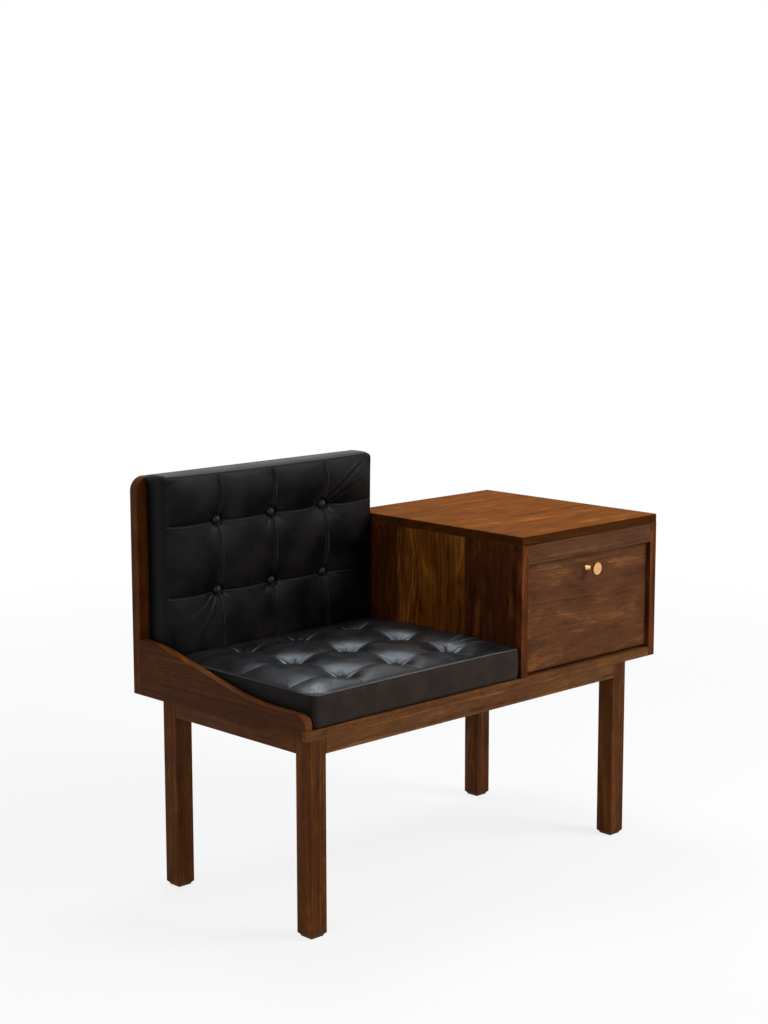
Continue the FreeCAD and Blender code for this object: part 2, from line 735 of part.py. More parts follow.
def knob_screw():
    """The screw through the flap that holds the knob, with its head inside."""
    head = KNOB_SCREW_HEAD_D / 2
    shank = KNOB_SCREW_D / 2
    profile = [
        (-KNOB_SCREW_HEAD_H, 0),
        (-KNOB_SCREW_HEAD_H, head),
        (0, head),
        (0, shank),
        (FLAP_T + KNOB_SCREW_BITE, shank),
        (FLAP_T + KNOB_SCREW_BITE, 0),
    ]
    return turned(profile, Vector(KNOB_X, FLAP_BACK, KNOB_Z), Vector(0, -1, 0), Vector(1, 0, 0))


# Magnetic catch


def strike_middle():
    """The middle of the strike plate on the flap's inner face."""
    return Vector(INSIDE_LEFT + CATCH_W / 2 + STRIKE_W / 4, FLAP_BACK, CATCH_Z)


def strike_plate():
    """The thin steel plate on the flap that the catch holds."""
    middle = strike_middle()
    return box(
        middle.x - STRIKE_W / 2,
        middle.x + STRIKE_W / 2,
        FLAP_BACK,
        STRIKE_BACK,
        middle.z - STRIKE_H / 2,
        middle.z + STRIKE_H / 2,
    )


def magnet_span(margin):
    """The magnet pack's block in the catch, larger by a margin for its pocket."""
    middle_x = INSIDE_LEFT + CATCH_W / 2
    return (
        middle_x - MAGNET_T / 2 - margin,
        middle_x + MAGNET_T / 2 + margin,
        CATCH_Z - MAGNET_H / 2 - margin,
        CATCH_Z + MAGNET_H / 2 + margin,
    )


def catch_body():
    """The moulded catch body with an ear above and below and a pocket for its magnet."""
    x0 = INSIDE_LEFT
    y0 = CATCH_FRONT
    y1 = CATCH_FRONT + CATCH_DEPTH
    half = CATCH_H / 2
    block = box(x0, x0 + CATCH_W, y0, y1, CATCH_Z - half, CATCH_Z + half)
    ears = box(
        x0,
        x0 + CATCH_EAR_T,
        y0 + CATCH_EAR_INSET,
        y1 - CATCH_EAR_INSET,
        CATCH_Z - half - CATCH_EAR_H,
        CATCH_Z + half + CATCH_EAR_H,
    )
    body = block.fuse(ears).removeSplitter()
    mx0, mx1, mz0, mz1 = magnet_span(HOLE_GAP)
    return body.cut(box(mx0, mx1, y0 - CUT_OVERRUN, y0 + MAGNET_DEPTH + HOLE_GAP, mz0, mz1))


def catch_magnet():
    """The magnet between its two steel pole plates, which stand a little proud."""
    mx0, mx1, mz0, mz1 = magnet_span(0)
    front = CATCH_FRONT
    rear = CATCH_FRONT + MAGNET_DEPTH
    plates = [
        box(mx0, mx0 + POLE_T, front - POLE_PROUD, rear, mz0, mz1),
        box(mx1 - POLE_T, mx1, front - POLE_PROUD, rear, mz0, mz1),
    ]
    return group(plates + [box(mx0 + POLE_T, mx1 - POLE_T, front, rear, mz0, mz1)])


# Slotted stay. Its rivet on the flap and its stud on the panel lie at one distance from the
# pivot line, so the arm turns by exactly half of the flap's angle.


def stay_rivet():
    """The rivet's centre with the flap closed."""
    back = FLAP_BACK + STAY_PIN_BACK - PIVOT_Y
    up = math.sqrt(STAY_RADIUS**2 - back**2)
    return Vector(STAY_ARM_X, PIVOT_Y + back, PIVOT_Z + up)


def stay_rivet_lean():
    """The rivet's angle behind the upright through the pivot line, in degrees."""
    return math.degrees(math.asin((FLAP_BACK + STAY_PIN_BACK - PIVOT_Y) / STAY_RADIUS))


def stay_stud_centre():
    """The stud's centre on the panel."""
    lean = math.radians(stay_rivet_lean() + STAY_CLOSED_ANGLE)
    back = STAY_RADIUS * math.sin(lean)
    up = STAY_RADIUS * math.cos(lean)
    return Vector(STAY_ARM_X, PIVOT_Y + back, PIVOT_Z + up)


def stay_reach(angle):
    """Distance from rivet to stud when they stand at an angle seen from the pivot line."""
    return 2 * STAY_RADIUS * math.sin(math.radians(angle / 2))


def slot_form(first, last, width, x0, x1):
    """A round-ended bar along +Y between two centres, from x0 to x1 in thickness."""
    half = width / 2
    bar = box(x0, x1, first, last, -half, half)
    ends = [rod(Vector(x0, y, 0), Vector(1, 0, 0), width, x1 - x0) for y in (first, last)]
    return bar.fuse(ends).removeSplitter()


def stay_arm():
    """The slotted flat arm, drawn level and then turned to its closed angle."""
    closed = stay_reach(STAY_CLOSED_ANGLE)
    opened = stay_reach(STAY_CLOSED_ANGLE + STAY_SWING)
    arm = slot_form(0, opened + STAY_END - STAY_ARM_W / 2, STAY_ARM_W, 0, STAY_ARM_T)
    slot_w = STUD_D + 2 * STUD_SLOT_GAP
    arm = arm.cut(slot_form(closed, opened, slot_w, -CUT_OVERRUN, STAY_ARM_T + CUT_OVERRUN))
    eye_start = Vector(-CUT_OVERRUN, 0, 0)
    eye_length = STAY_ARM_T + 2 * CUT_OVERRUN
    arm = arm.cut(rod(eye_start, Vector(1, 0, 0), RIVET_D + 2 * HOLE_GAP, eye_length))
    arm.rotate(Vector(0, 0, 0), Vector(1, 0, 0), -(stay_rivet_lean() + STAY_CLOSED_ANGLE / 2))
    arm.translate(stay_rivet() - Vector(STAY_ARM_T, 0, 0))
    return arm


def stay_bracket():
    """The bent bracket on the flap: a foot against it and an ear that carries the rivet."""
    centre = stay_rivet()
    ear_x0 = STAY_ARM_X + STAY_SIDE_GAP
    ear_x1 = ear_x0 + BRACKET_T
    half = BRACKET_W / 2
    foot = box(
        ear_x1 - BRACKET_FOOT_L, ear_x1, FLAP_BACK, FLAP_BACK + BRACKET_T, centre.z - half, centre.z + half
    )
    ear = box(ear_x0, ear_x1, FLAP_BACK, centre.y, centre.z - half, centre.z + half)
    tip = rod(Vector(ear_x0, centre.y, centre.z), Vector(1, 0, 0), BRACKET_W, BRACKET_T)
    bracket = foot.fuse([ear, tip]).removeSplitter()
    eye_start = Vector(ear_x0 - CUT_OVERRUN, centre.y, centre.z)
    eye = rod(eye_start, Vector(1, 0, 0), RIVET_D + 2 * PIVOT_RUNNING_GAP, BRACKET_T + 2 * CUT_OVERRUN)
    return bracket.cut(eye)


def stay_pin():
    """The shouldered rivet that joins arm and bracket."""
    centre = stay_rivet()
    ear_back = STAY_ARM_X + STAY_SIDE_GAP + BRACKET_T
    length = ear_back - centre.x + STAY_ARM_T + STAY_SIDE_GAP
    profile = [
        (-RIVET_HEAD_T, 0),
        (-RIVET_HEAD_T, RIVET_HEAD_D / 2),
        (0, RIVET_HEAD_D / 2),
        (0, RIVET_D / 2),
        (length, RIVET_D / 2),
        (length, RIVET_HEAD_D / 2),
        (length + RIVET_HEAD_T, RIVET_HEAD_D / 2),
        (length + RIVET_HEAD_T, 0),
    ]
    start = Vector(ear_back, centre.y, centre.z)
    return turned(profile, start, Vector(-1, 0, 0), Vector(0, 0, 1))


def stay_stud():
    """The stud on its oval plate: a shoulder, the round that the slot rides on and a head."""
    centre = stay_stud_centre()
    plate_face = INSIDE_RIGHT - STUD_PLATE_T
    half_run = (STUD_PLATE_L - STUD_PLATE_W) / 2
    plate = slot_form(-half_run, half_run, STUD_PLATE_W, 0, STUD_PLATE_T)
    plate.rotate(Vector(0, 0, 0), Vector(1, 0, 0), 90)
    plate.translate(Vector(plate_face, centre.y, centre.z))
    shoulder = plate_face - STAY_ARM_X - STAY_SIDE_GAP
    ride = STAY_ARM_T + 2 * STAY_SIDE_GAP
    profile = [
        (-STUD_PLATE_T / 2, 0),
        (-STUD_PLATE_T / 2, STUD_SHOULDER_D / 2),
        (shoulder, STUD_SHOULDER_D / 2),
        (shoulder, STUD_D / 2),
        (shoulder + ride, STUD_D / 2),
        (shoulder + ride, STUD_HEAD_D / 2),
        (shoulder + ride + STUD_HEAD_T, STUD_HEAD_D / 2),
        (shoulder + ride + STUD_HEAD_T, 0),
    ]
    start = Vector(plate_face, centre.y, centre.z)
    post = turned(profile, start, Vector(-1, 0, 0), Vector(0, 0, 1))
    return plate.fuse(post)


# Cushions. A pad is drawn lying down, with its quilted face up. Each row of tufting is one loft
# through sections whose upper edge is a chain of arcs from seam to seam. The rows are fused and
# then trimmed by a form with rounded corners and sides that are drawn in between them.


def dome(share):
    """How full the pad is across one direction: none at its borders, nearly flat in the middle."""
    return 1 - abs(2 * share - 1) ** 3


class Quilt:
    """A tufted pad: its plan, its seams and how far seams and tufts are pulled down."""

    def __init__(self, width, depth, edge_h, crown, seam_drop, tuft_drop, columns, rows):
        self.width = width
        self.depth = depth
        self.edge_h = edge_h
        self.crown = crown
        self.seam_drop = seam_drop
        self.tuft_drop = tuft_drop
        self.columns = columns
        self.rows = rows

    def envelope(self, u, v):
        """Height of the full face with no seams in it."""
        return self.edge_h + self.crown * dome(u / self.width) * dome(v / self.depth)

    def valley(self, u, v, pull):
        """Height of a seam that crosses the section, deepest where a tuft is sewn."""
        sunk = self.seam_drop + (self.tuft_drop - self.seam_drop) * pull
        return self.envelope(u, v) - sunk

    def section_heights(self, v, pull, border):
        """Heights at borders, seams and the crests between them, from left to right."""
        stops = [0.0] + self.columns + [self.width]
        heights = []
        for index, stop in enumerate(stops):
            at_side = index in (0, len(stops) - 1)
            if at_side:
                height = self.edge_h
            elif border:
                height = self.edge_h - SEAM_PUCKER
            else:
                height = self.valley(stop, v, pull)
            heights.append((stop, height))
            if index < len(stops) - 1:
                middle = (stop + stops[index + 1]) / 2
                crest = self.edge_h + BORDER_SWELL if border else self.envelope(middle, v)
                sunk = 0 if border else self.seam_drop * pull
                heights.append((middle, crest - sunk))
        return heights

    def section(self, v, pull, border):
        """One closed section across the pad, with arcs along its upper edge."""
        marks = self.section_heights(v, pull, border)
        points = [Vector(u, v, height) for u, height in marks]
        points[0].x -= CUT_OVERRUN
        points[-1].x += CUT_OVERRUN
        low_left = Vector(points[0].x, v, 0)
        low_right = Vector(points[-1].x, v, 0)
        edges = [Part.makeLine(low_left, points[0])]
        for index in range(0, len(points) - 1, 2):
            edges.append(Part.Arc(points[index], points[index + 1], points[index + 2]).toShape())
        edges.append(Part.makeLine(points[-1], low_right))
        edges.append(Part.makeLine(low_right, low_left))
        return Part.Wire(edges)

    def row(self, v0, v1, border0, border1):
        """The loft of one row of tufting between two seams, or a seam and a border."""
        sections = []
        for share in ROW_STATIONS:
            v = v0 + (v1 - v0) * share
            at_border = (share == 0.0 and border0) or (share == 1.0 and border1)
            pull = (2 * share - 1) ** 4
            if border0 and share < 0.5:
                pull = 0.0
            if border1 and share > 0.5:
                pull = 0.0
            sections.append(self.section(v, pull, at_border))
        return Part.makeLoft(sections, True, True)

    def side_wire(self, inset, z):
        """The pad's outline at one height: four corner arcs and four sides drawn in."""
        x0, x1 = inset, self.width - inset
        y0, y1 = inset, self.depth - inset
        r = CUSHION_CORNER_R
        bow = r * (1 - math.sin(math.radians(45)))
        mid_x = self.width / 2
        mid_y = self.depth / 2

        def at(x, y):
            return Vector(x, y, z)

        edges = [
            Part.Arc(at(x0 + r, y0), at(mid_x, y0 + SIDE_DRAW), at(x1 - r, y0)),
            Part.Arc(at(x1 - r, y0), at(x1 - bow, y0 + bow), at(x1, y0 + r)),
            Part.Arc(at(x1, y0 + r), at(x1 - SIDE_DRAW, mid_y), at(x1, y1 - r)),
            Part.Arc(at(x1, y1 - r), at(x1 - bow, y1 - bow), at(x1 - r, y1)),
            Part.Arc(at(x1 - r, y1), at(mid_x, y1 - SIDE_DRAW), at(x0 + r, y1)),
            Part.Arc(at(x0 + r, y1), at(x0 + bow, y1 - bow), at(x0, y1 - r)),
            Part.Arc(at(x0, y1 - r), at(x0 + SIDE_DRAW, mid_y), at(x0, y0 + r)),
            Part.Arc(at(x0, y0 + r), at(x0 + bow, y0 + bow), at(x0 + r, y0)),
        ]
        return Part.Wire([edge.toShape() for edge in edges])

    def side_form(self):
        """The trimming form, fullest halfway up its border."""
        top = self.edge_h + self.crown + CUT_OVERRUN
        wires = [
            self.side_wire(SIDE_TUCK, 0),
            self.side_wire(0, self.edge_h / 2),
            self.side_wire(SIDE_TUCK, self.edge_h),
            self.side_wire(SIDE_TUCK + (top - self.edge_h) / 2, top),
        ]
        return Part.makeLoft(wires, True, True)

    def solid(self):
        """The whole pad with its lower face on z = 0 and its corner at the origin."""
        stops = [-CUT_OVERRUN] + self.rows + [self.depth + CUT_OVERRUN]
        last = len(stops) - 2
        rows = []
        for index in range(len(stops) - 1):
            rows.append(self.row(stops[index], stops[index + 1], index == 0, index == last))
        return join(rows).common(self.side_form())


def tuft_columns(first, step):
    """The seams across a pad."""
    return [first + step * i for i in range(TUFTS_ACROSS)]


def cushion_left():
    """Where both cushions start, beside the scrolled side."""
    return SIDE_T + CUSHION_GAP


def cushion_width():
    """Both cushions fill the space between the scrolled side and the cabinet."""
    return CABINET_LEFT - SIDE_T - 2 * CUSHION_GAP


def seat_cushion():
    """The tufted seat cushion, lying on the seat board."""
    depth = BACK_CUSHION_FRONT - CUSHION_GAP - CUSHION_FRONT_SETBACK
    rows = [SEAT_TUFT_FIRST_Y + SEAT_TUFT_STEP_Y * i for i in range(SEAT_TUFT_ROWS)]
    columns = tuft_columns(SEAT_TUFT_FIRST_X, SEAT_TUFT_STEP_X)
    quilt = Quilt(
        cushion_width(), depth, SEAT_EDGE_H, SEAT_CROWN, SEAT_SEAM_DROP, SEAT_TUFT_DROP, columns, rows
    )
    pad = quilt.solid()
    pad.translate(Vector(cushion_left(), CUSHION_FRONT_SETBACK, SEAT_BOARD_TOP + GLUE_GAP))
    return pad


def back_quilt():
    """The back cushion's plan, seams and drops, drawn lying down."""
    height = BACK_CUSHION_TOP - SEAT_BOARD_TOP - CUSHION_GAP
    top_row = height - BACK_ROW_BELOW_TOP
    rows = [top_row - BACK_ROW_STEP * i for i in reversed(range(BACK_TUFT_ROWS))]
    columns = tuft_columns(BACK_TUFT_FIRST_X, BACK_TUFT_STEP_X)
    return Quilt(
        cushion_width(), height, BACK_EDGE_H, BACK_CROWN, BACK_SEAM_DROP, BACK_TUFT_DROP, columns, rows
    )


def stand_up(shape):
    """A pad drawn lying down, stood against the back panel with its quilted face forwards."""
    shape.rotate(Vector(0, 0, 0), Vector(1, 0, 0), 90)
    shape.translate(Vector(cushion_left(), DEPTH - TAPE_T - GLUE_GAP, SEAT_BOARD_TOP + CUSHION_GAP))
    return shape


def button_places():
    """Each button's seat on the lying back cushion: its centre on the tuft's floor."""
    quilt = back_quilt()
    places = []
    for u in quilt.columns:
        for v in quilt.rows:
            places.append(Vector(u, v, quilt.valley(u, v, 1)))
    return places


def many_sided(centre, profile):
    """A solid with flat faces through regular polygons, given as pairs of (height, radius)."""
    rings = []
    for height, radius in profile:
        ring = []
        for index in range(BUTTON_SIDES):
            angle = 2 * math.pi * index / BUTTON_SIDES
            ring.append(centre + Vector(radius * math.cos(angle), radius * math.sin(angle), height))
        rings.append(ring)
    faces = [flat_face(rings[0][::-1]), flat_face(rings[-1])]
    for low, high in zip(rings, rings[1:]):
        for index in range(BUTTON_SIDES):
            after = (index + 1) % BUTTON_SIDES
            faces.append(flat_face([low[index], low[after], high[after], high[index]]))
    return Part.Solid(Part.Shell(faces))


def back_cushion():
    """The buttoned back cushion, with a seat for each button at its tuft."""
    pad = back_quilt().solid()
    radius = BUTTON_D / 2 + BUTTON_GAP
    profile = [(0, radius), (BACK_TUFT_DROP + BACK_CROWN, radius)]
    seats = [many_sided(place, profile) for place in button_places()]
    return stand_up(pad.cut(group(seats)))


def back_buttons():
    """Six covered buttons, each a low rim under a crown that slopes to a flat middle."""
    profile = [
        (BUTTON_GAP, BUTTON_D / 2),
        (BUTTON_GAP + BUTTON_RIM_T, BUTTON_D / 2),
        (BUTTON_GAP + BUTTON_RIM_T + BUTTON_DOME, BUTTON_FLAT_D / 2),
    ]
    return stand_up(group([many_sided(place, profile) for place in button_places()]))


def cushion_tapes():
    """Two strips of hook and loop tape between the back panel and the back cushion."""
    low = (SEAT_BOARD_TOP + BACK_CUSHION_TOP) / 2 - TAPE_L / 2
    left = cushion_left() + TAPE_INSET
    right = CABINET_LEFT - CUSHION_GAP - TAPE_INSET - TAPE_W
    return group([box(x, x + TAPE_W, DEPTH - TAPE_T, DEPTH, low, low + TAPE_L) for x in (left, right)])


def pieces():
    """Every piece of the bench by its name."""
    parts = {}
    for name, x, y, inward_x, inward_y in leg_corners():
        parts[name] = leg(x, y, inward_x, inward_y)
    parts["foot_pads"] = foot_pads()
    parts["apron_front"] = apron_along_x(0.0, 1)
    parts["apron_back"] = apron_along_x(LEG_BACK, -1)
    parts["apron_left"] = apron_along_y(LEG_LEFT, 1)
    parts["apron_right"] = apron_along_y(LEG_RIGHT, -1)
    parts["corner_blocks"] = corner_blocks()
    parts["seat_board"] = seat_board()
    parts["front_lipping"] = front_lipping()
    parts["scroll_side"] = scroll_side()
    parts["seat_tongues"] = tongues(["seat_left", "seat_right"])
    parts["back_panel"] = back_panel()
    parts["back_tongues"] = tongues(["back_seat", "back_side", "back_cabinet"])
    parts["cabinet_left_panel"] = cabinet_left_panel()
    parts["cabinet_right_panel"] = cabinet_right_panel()
    parts["cabinet_top"] = cabinet_top()
    parts["cabinet_back"] = cabinet_back()
    parts["cabinet_tongues"] = tongues(["panel_foot", "top_left", "top_right"])
    parts["top_rail"] = top_rail()
    parts["flap"] = flap()
    parts["flap_pivot_pins"] = pivot_pins()
    parts["flap_bushes"] = pivot_bushes()
    parts["knob"] = knob()
    parts["knob_screw"] = knob_screw()
    parts["strike_plate"] = strike_plate()
    parts["catch_body"] = catch_body()
    parts["catch_magnet"] = catch_magnet()
    parts["stay_bracket"] = stay_bracket()
    parts["stay_rivet"] = stay_pin()
    parts["stay_arm"] = stay_arm()
    parts["stay_stud"] = stay_stud()
    parts["seat_cushion"] = seat_cushion()
    parts["back_cushion"] = back_cushion()
    parts["back_buttons"] = back_buttons()
    parts["cushion_tapes"] = cushion_tapes()
    return parts


def main():
    """Build every piece, move it to the bench's own origin and write it out."""
    os.makedirs("parts", exist_ok=True)
    for name, shape in pieces().items():
        shape.translate(Vector(0, 0, 0) - ORIGIN)
        if not shape.isValid():
            print("not a valid shape:", name)
        shape.exportStep("parts/" + name + ".step")
        print(name, len(shape.Solids), "solids", round(shape.Volume / 1000, 2), "cm3")


main()
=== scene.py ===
"""Telephone bench: wood, leather and metal finishes and the upholstery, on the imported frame."""

from __future__ import annotations

import logging
import math
from dataclasses import dataclass
from enum import Enum
from typing import Any, Sequence

import bpy
import numpy as np
from mathutils import Euler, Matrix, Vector
from mathutils.bvhtree import BVHTree

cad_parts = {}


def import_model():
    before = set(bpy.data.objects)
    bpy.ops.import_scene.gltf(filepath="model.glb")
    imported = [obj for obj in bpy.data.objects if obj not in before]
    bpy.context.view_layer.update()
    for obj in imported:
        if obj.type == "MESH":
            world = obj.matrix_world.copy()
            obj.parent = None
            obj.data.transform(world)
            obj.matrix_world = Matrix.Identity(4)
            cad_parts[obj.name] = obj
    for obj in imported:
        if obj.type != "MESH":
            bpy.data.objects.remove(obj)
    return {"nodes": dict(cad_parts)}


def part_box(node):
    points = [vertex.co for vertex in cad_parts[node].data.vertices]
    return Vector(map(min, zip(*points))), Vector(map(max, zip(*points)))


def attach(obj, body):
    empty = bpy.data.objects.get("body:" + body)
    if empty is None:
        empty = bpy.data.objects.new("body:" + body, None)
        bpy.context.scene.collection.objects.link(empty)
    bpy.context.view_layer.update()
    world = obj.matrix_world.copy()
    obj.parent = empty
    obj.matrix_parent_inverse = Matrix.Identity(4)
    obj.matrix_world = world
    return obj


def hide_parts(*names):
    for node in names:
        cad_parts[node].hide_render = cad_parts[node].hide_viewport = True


Array = np.ndarray
Colour = tuple[float, float, float, float]
Nodes = dict[str, bpy.types.Object]

MM = 0.001
log = logging.getLogger("bench")


class Axis(Enum):
    """The row frame's axis along which a board's grain runs, as an index."""

    X = 0
    Y = 1
    Z = 2


class Facing(Enum):
    """The way a cushion's tufted face looks."""

    UP = "up"
    FRONT = "front"


class Body(Enum):
    """The bodies that a piece can ride on."""

    ROOT = "root"
    FLAP = "flap"


class Slot(Enum):
    """Material slot names that are passed with each new piece but not used."""

    HIDE = "hide"
    STEEL = "steel"
    BRASS = "brass"
    TAPE = "tape"


def paint(red: int, green: int, blue: int) -> Colour:
    """Turns a colour written as 0 to 255 into the linear one that a shader takes.

    Args:
        red: Red as it shows.
        green: Green as it shows.
        blue: Blue as it shows.

    Returns:
        Linear red, green, blue and 1.
    """
    shown = np.array([red, green, blue]) / 255.0
    linear = np.where(shown <= 0.04045, shown / 12.92, ((shown + 0.055) / 1.055) ** 2.4)
    return (float(linear[0]), float(linear[1]), float(linear[2]), 1.0)


class Graph:
    """One material's node tree, with short calls that add and link nodes."""

    def __init__(self, name: str, tree: Any = None) -> None:
        """Starts an empty material that holds a Principled shader, or works in a given tree.

        Args:
            name: The material's name.
            tree: A node tree to work in, for which no material is made.
        """
        self._where: Any = None
        if tree is not None:
            self.tree = tree
            return
        self.material = bpy.data.materials.new(name)
        self.material.use_nodes = True
        self.tree = self.material.node_tree
        self.tree.nodes.clear()
        self.shader = self.tree.nodes.new("ShaderNodeBsdfPrincipled")
        self.output = self.tree.nodes.new("ShaderNodeOutputMaterial")
        self.tree.links.new(self.shader.outputs[0], self.output.inputs[0])

    def put(self, socket: Any, value: Any) -> None:
        """Links a socket, or sets its own value.

        Args:
            socket: The input that takes the value.
            value: Another node's output, or a number, vector or colour.
        """
        if isinstance(value, bpy.types.NodeSocket):
            self.tree.links.new(value, socket)
        else:
            socket.default_value = value

    def node(self, kind: str, inputs: dict[Any, Any] | None = None, **settings: Any) -> Any:
        """Adds a node.

        Args:
            kind: The node's type without its ShaderNode start.
            inputs: Values or links by the input's name or index.
            settings: The node's own properties.

        Returns:
            The new node.
        """
        made = self.tree.nodes.new("ShaderNode" + kind)
        for key, value in settings.items():
            setattr(made, key, value)
        for key, value in (inputs or {}).items():
            self.put(made.inputs[key], value)
        return made

    def where(self) -> Any:
        """The surface's place in its own object's coordinates.

        Returns:
            The coordinates.
        """
        if self._where is None:
            self._where = self.node("TexCoord").outputs["Object"]
        return self._where

    def math(self, operation: str, *values: Any, clamp: bool = False) -> Any:
        """Adds a Math node.

        Args:
            operation: The node's operation.
            values: Its inputs in order.
            clamp: True to hold the result from 0 to 1.

        Returns:
            Its output socket.
        """
        inputs = dict(enumerate(values))
        return self.node("Math", inputs, operation=operation, use_clamp=clamp).outputs[0]

    def spread(self, value: Any, low: float, high: float, to: tuple[float, float] = (0, 1)) -> Any:
        """Maps a value's range low to high smoothly onto another range.

        Args:
            value: The socket to map.
            low: The value that gives the first number of to.
            high: The value that gives the second.
            to: The new range.

        Returns:
            The mapped socket.
        """
        made = self.node(
            "MapRange",
            {"Value": value, "From Min": low, "From Max": high, "To Min": to[0], "To Max": to[1]},
            interpolation_type="SMOOTHSTEP",
        )
        return made.outputs["Result"]

    def stretched(self, vector: Any, scale: Sequence[float], shift: Sequence[float]) -> Any:
        """A vector scaled by axis and then moved.

        Args:
            vector: The socket to change.
            scale: A factor for each axis.
            shift: What is added after scaling.

        Returns:
            The mapped vector.
        """
        made = self.node("Mapping", {"Vector": vector})
        made.inputs["Scale"].default_value = tuple(scale)
        made.inputs["Location"].default_value = tuple(shift)
        return made.outputs["Vector"]

    def noise(
        self, vector: Any, scale: float, detail: float = 3.0, rough: float = 0.5, bend: float = 0.0
    ) -> Any:
        """Smooth noise from 0 to 1.

        Args:
            vector: Where it is read.
            scale: Its scale, in waves to the unit.
            detail: Its finer layers.
            rough: The finer layers' strength.
            bend: How far it distorts itself.

        Returns:
            The value socket.
        """
        inputs = {
            "Vector": vector,
            "Scale": scale,
            "Detail": detail,
            "Roughness": rough,
            "Distortion": bend,
        }
        return self.node("TexNoise", inputs).outputs[0]

    def cells(self, vector: Any, scale: float, edges: bool = False) -> Any:
        """Distance to the nearest cell point, or to the nearest cell edge.

        Args:
            vector: Where it is read.
            scale: Cells to the unit.
            edges: True for the distance to the edges.

        Returns:
            The distance socket.
        """
        feature = "DISTANCE_TO_EDGE" if edges else "F1"
        made = self.node("TexVoronoi", {"Vector": vector, "Scale": scale}, feature=feature)
        return made.outputs["Distance"]

    def ramp(self, value: Any, stops: Sequence[tuple[float, Colour]], steps: bool = False) -> Any:
        """A colour ramp.

        Args:
            value: The place on the ramp.
            stops: Places and colours in rising order.
            steps: True for a hard step at each stop.

        Returns:
            The colour socket.
        """
        made = self.node("ValToRGB", {"Fac": value})
        band = made.color_ramp
        band.interpolation = "CONSTANT" if steps else "EASE"
        band.elements[0].position, band.elements[0].color = stops[0]
        band.elements[1].position, band.elements[1].color = stops[-1]
        for place, colour in stops[1:-1]:
            band.elements.new(place).color = colour
        return made.outputs["Color"]

    def mix(self, share: Any, first: Any, second: Any, how: str = "MIX") -> Any:
        """Mixes two colours.

        Args:
            share: How much of the second.
            first: The first colour.
            second: The second colour.
            how: The way they mix.

        Returns:
            The mixed colour.
        """
        made = self.node("Mix", data_type="RGBA", blend_type=how)
        self.put(made.inputs[0], share)
        self.put(made.inputs[6], first)
        self.put(made.inputs[7], second)
        return made.outputs[2]

    def bump(self, height: Any, strength: float, depth: float, normal: Any = None) -> Any:
        """Bends the surface's normal by a height.

        Args:
            height: The height from 0 to 1.
            strength: How much of it counts.
            depth: The height's real size in metres.
            normal: The normal that it starts from, or None for the surface's own.

        Returns:
            The bent normal.
        """
        inputs = {"Strength": strength, "Distance": depth, "Height": height}
        made = self.node("Bump", inputs)
        if normal is not None:
            self.put(made.inputs["Normal"], normal)
        return made.outputs["Normal"]

    def finish(self, **inputs: Any) -> bpy.types.Material:
        """Sets the shader's inputs and returns the material.

        Args:
            inputs: Values by the shader's input name, with _ for a space.

        Returns:
            The finished material.
        """
        for key, value in inputs.items():
            self.put(self.shader.inputs[key.replace("_", " ")], value)
        return self.material


@dataclass(frozen=True)
class Stave:
    """One glued stave of a wide board: where it starts across the grain, and its tone."""

    start: float
    tint: Colour


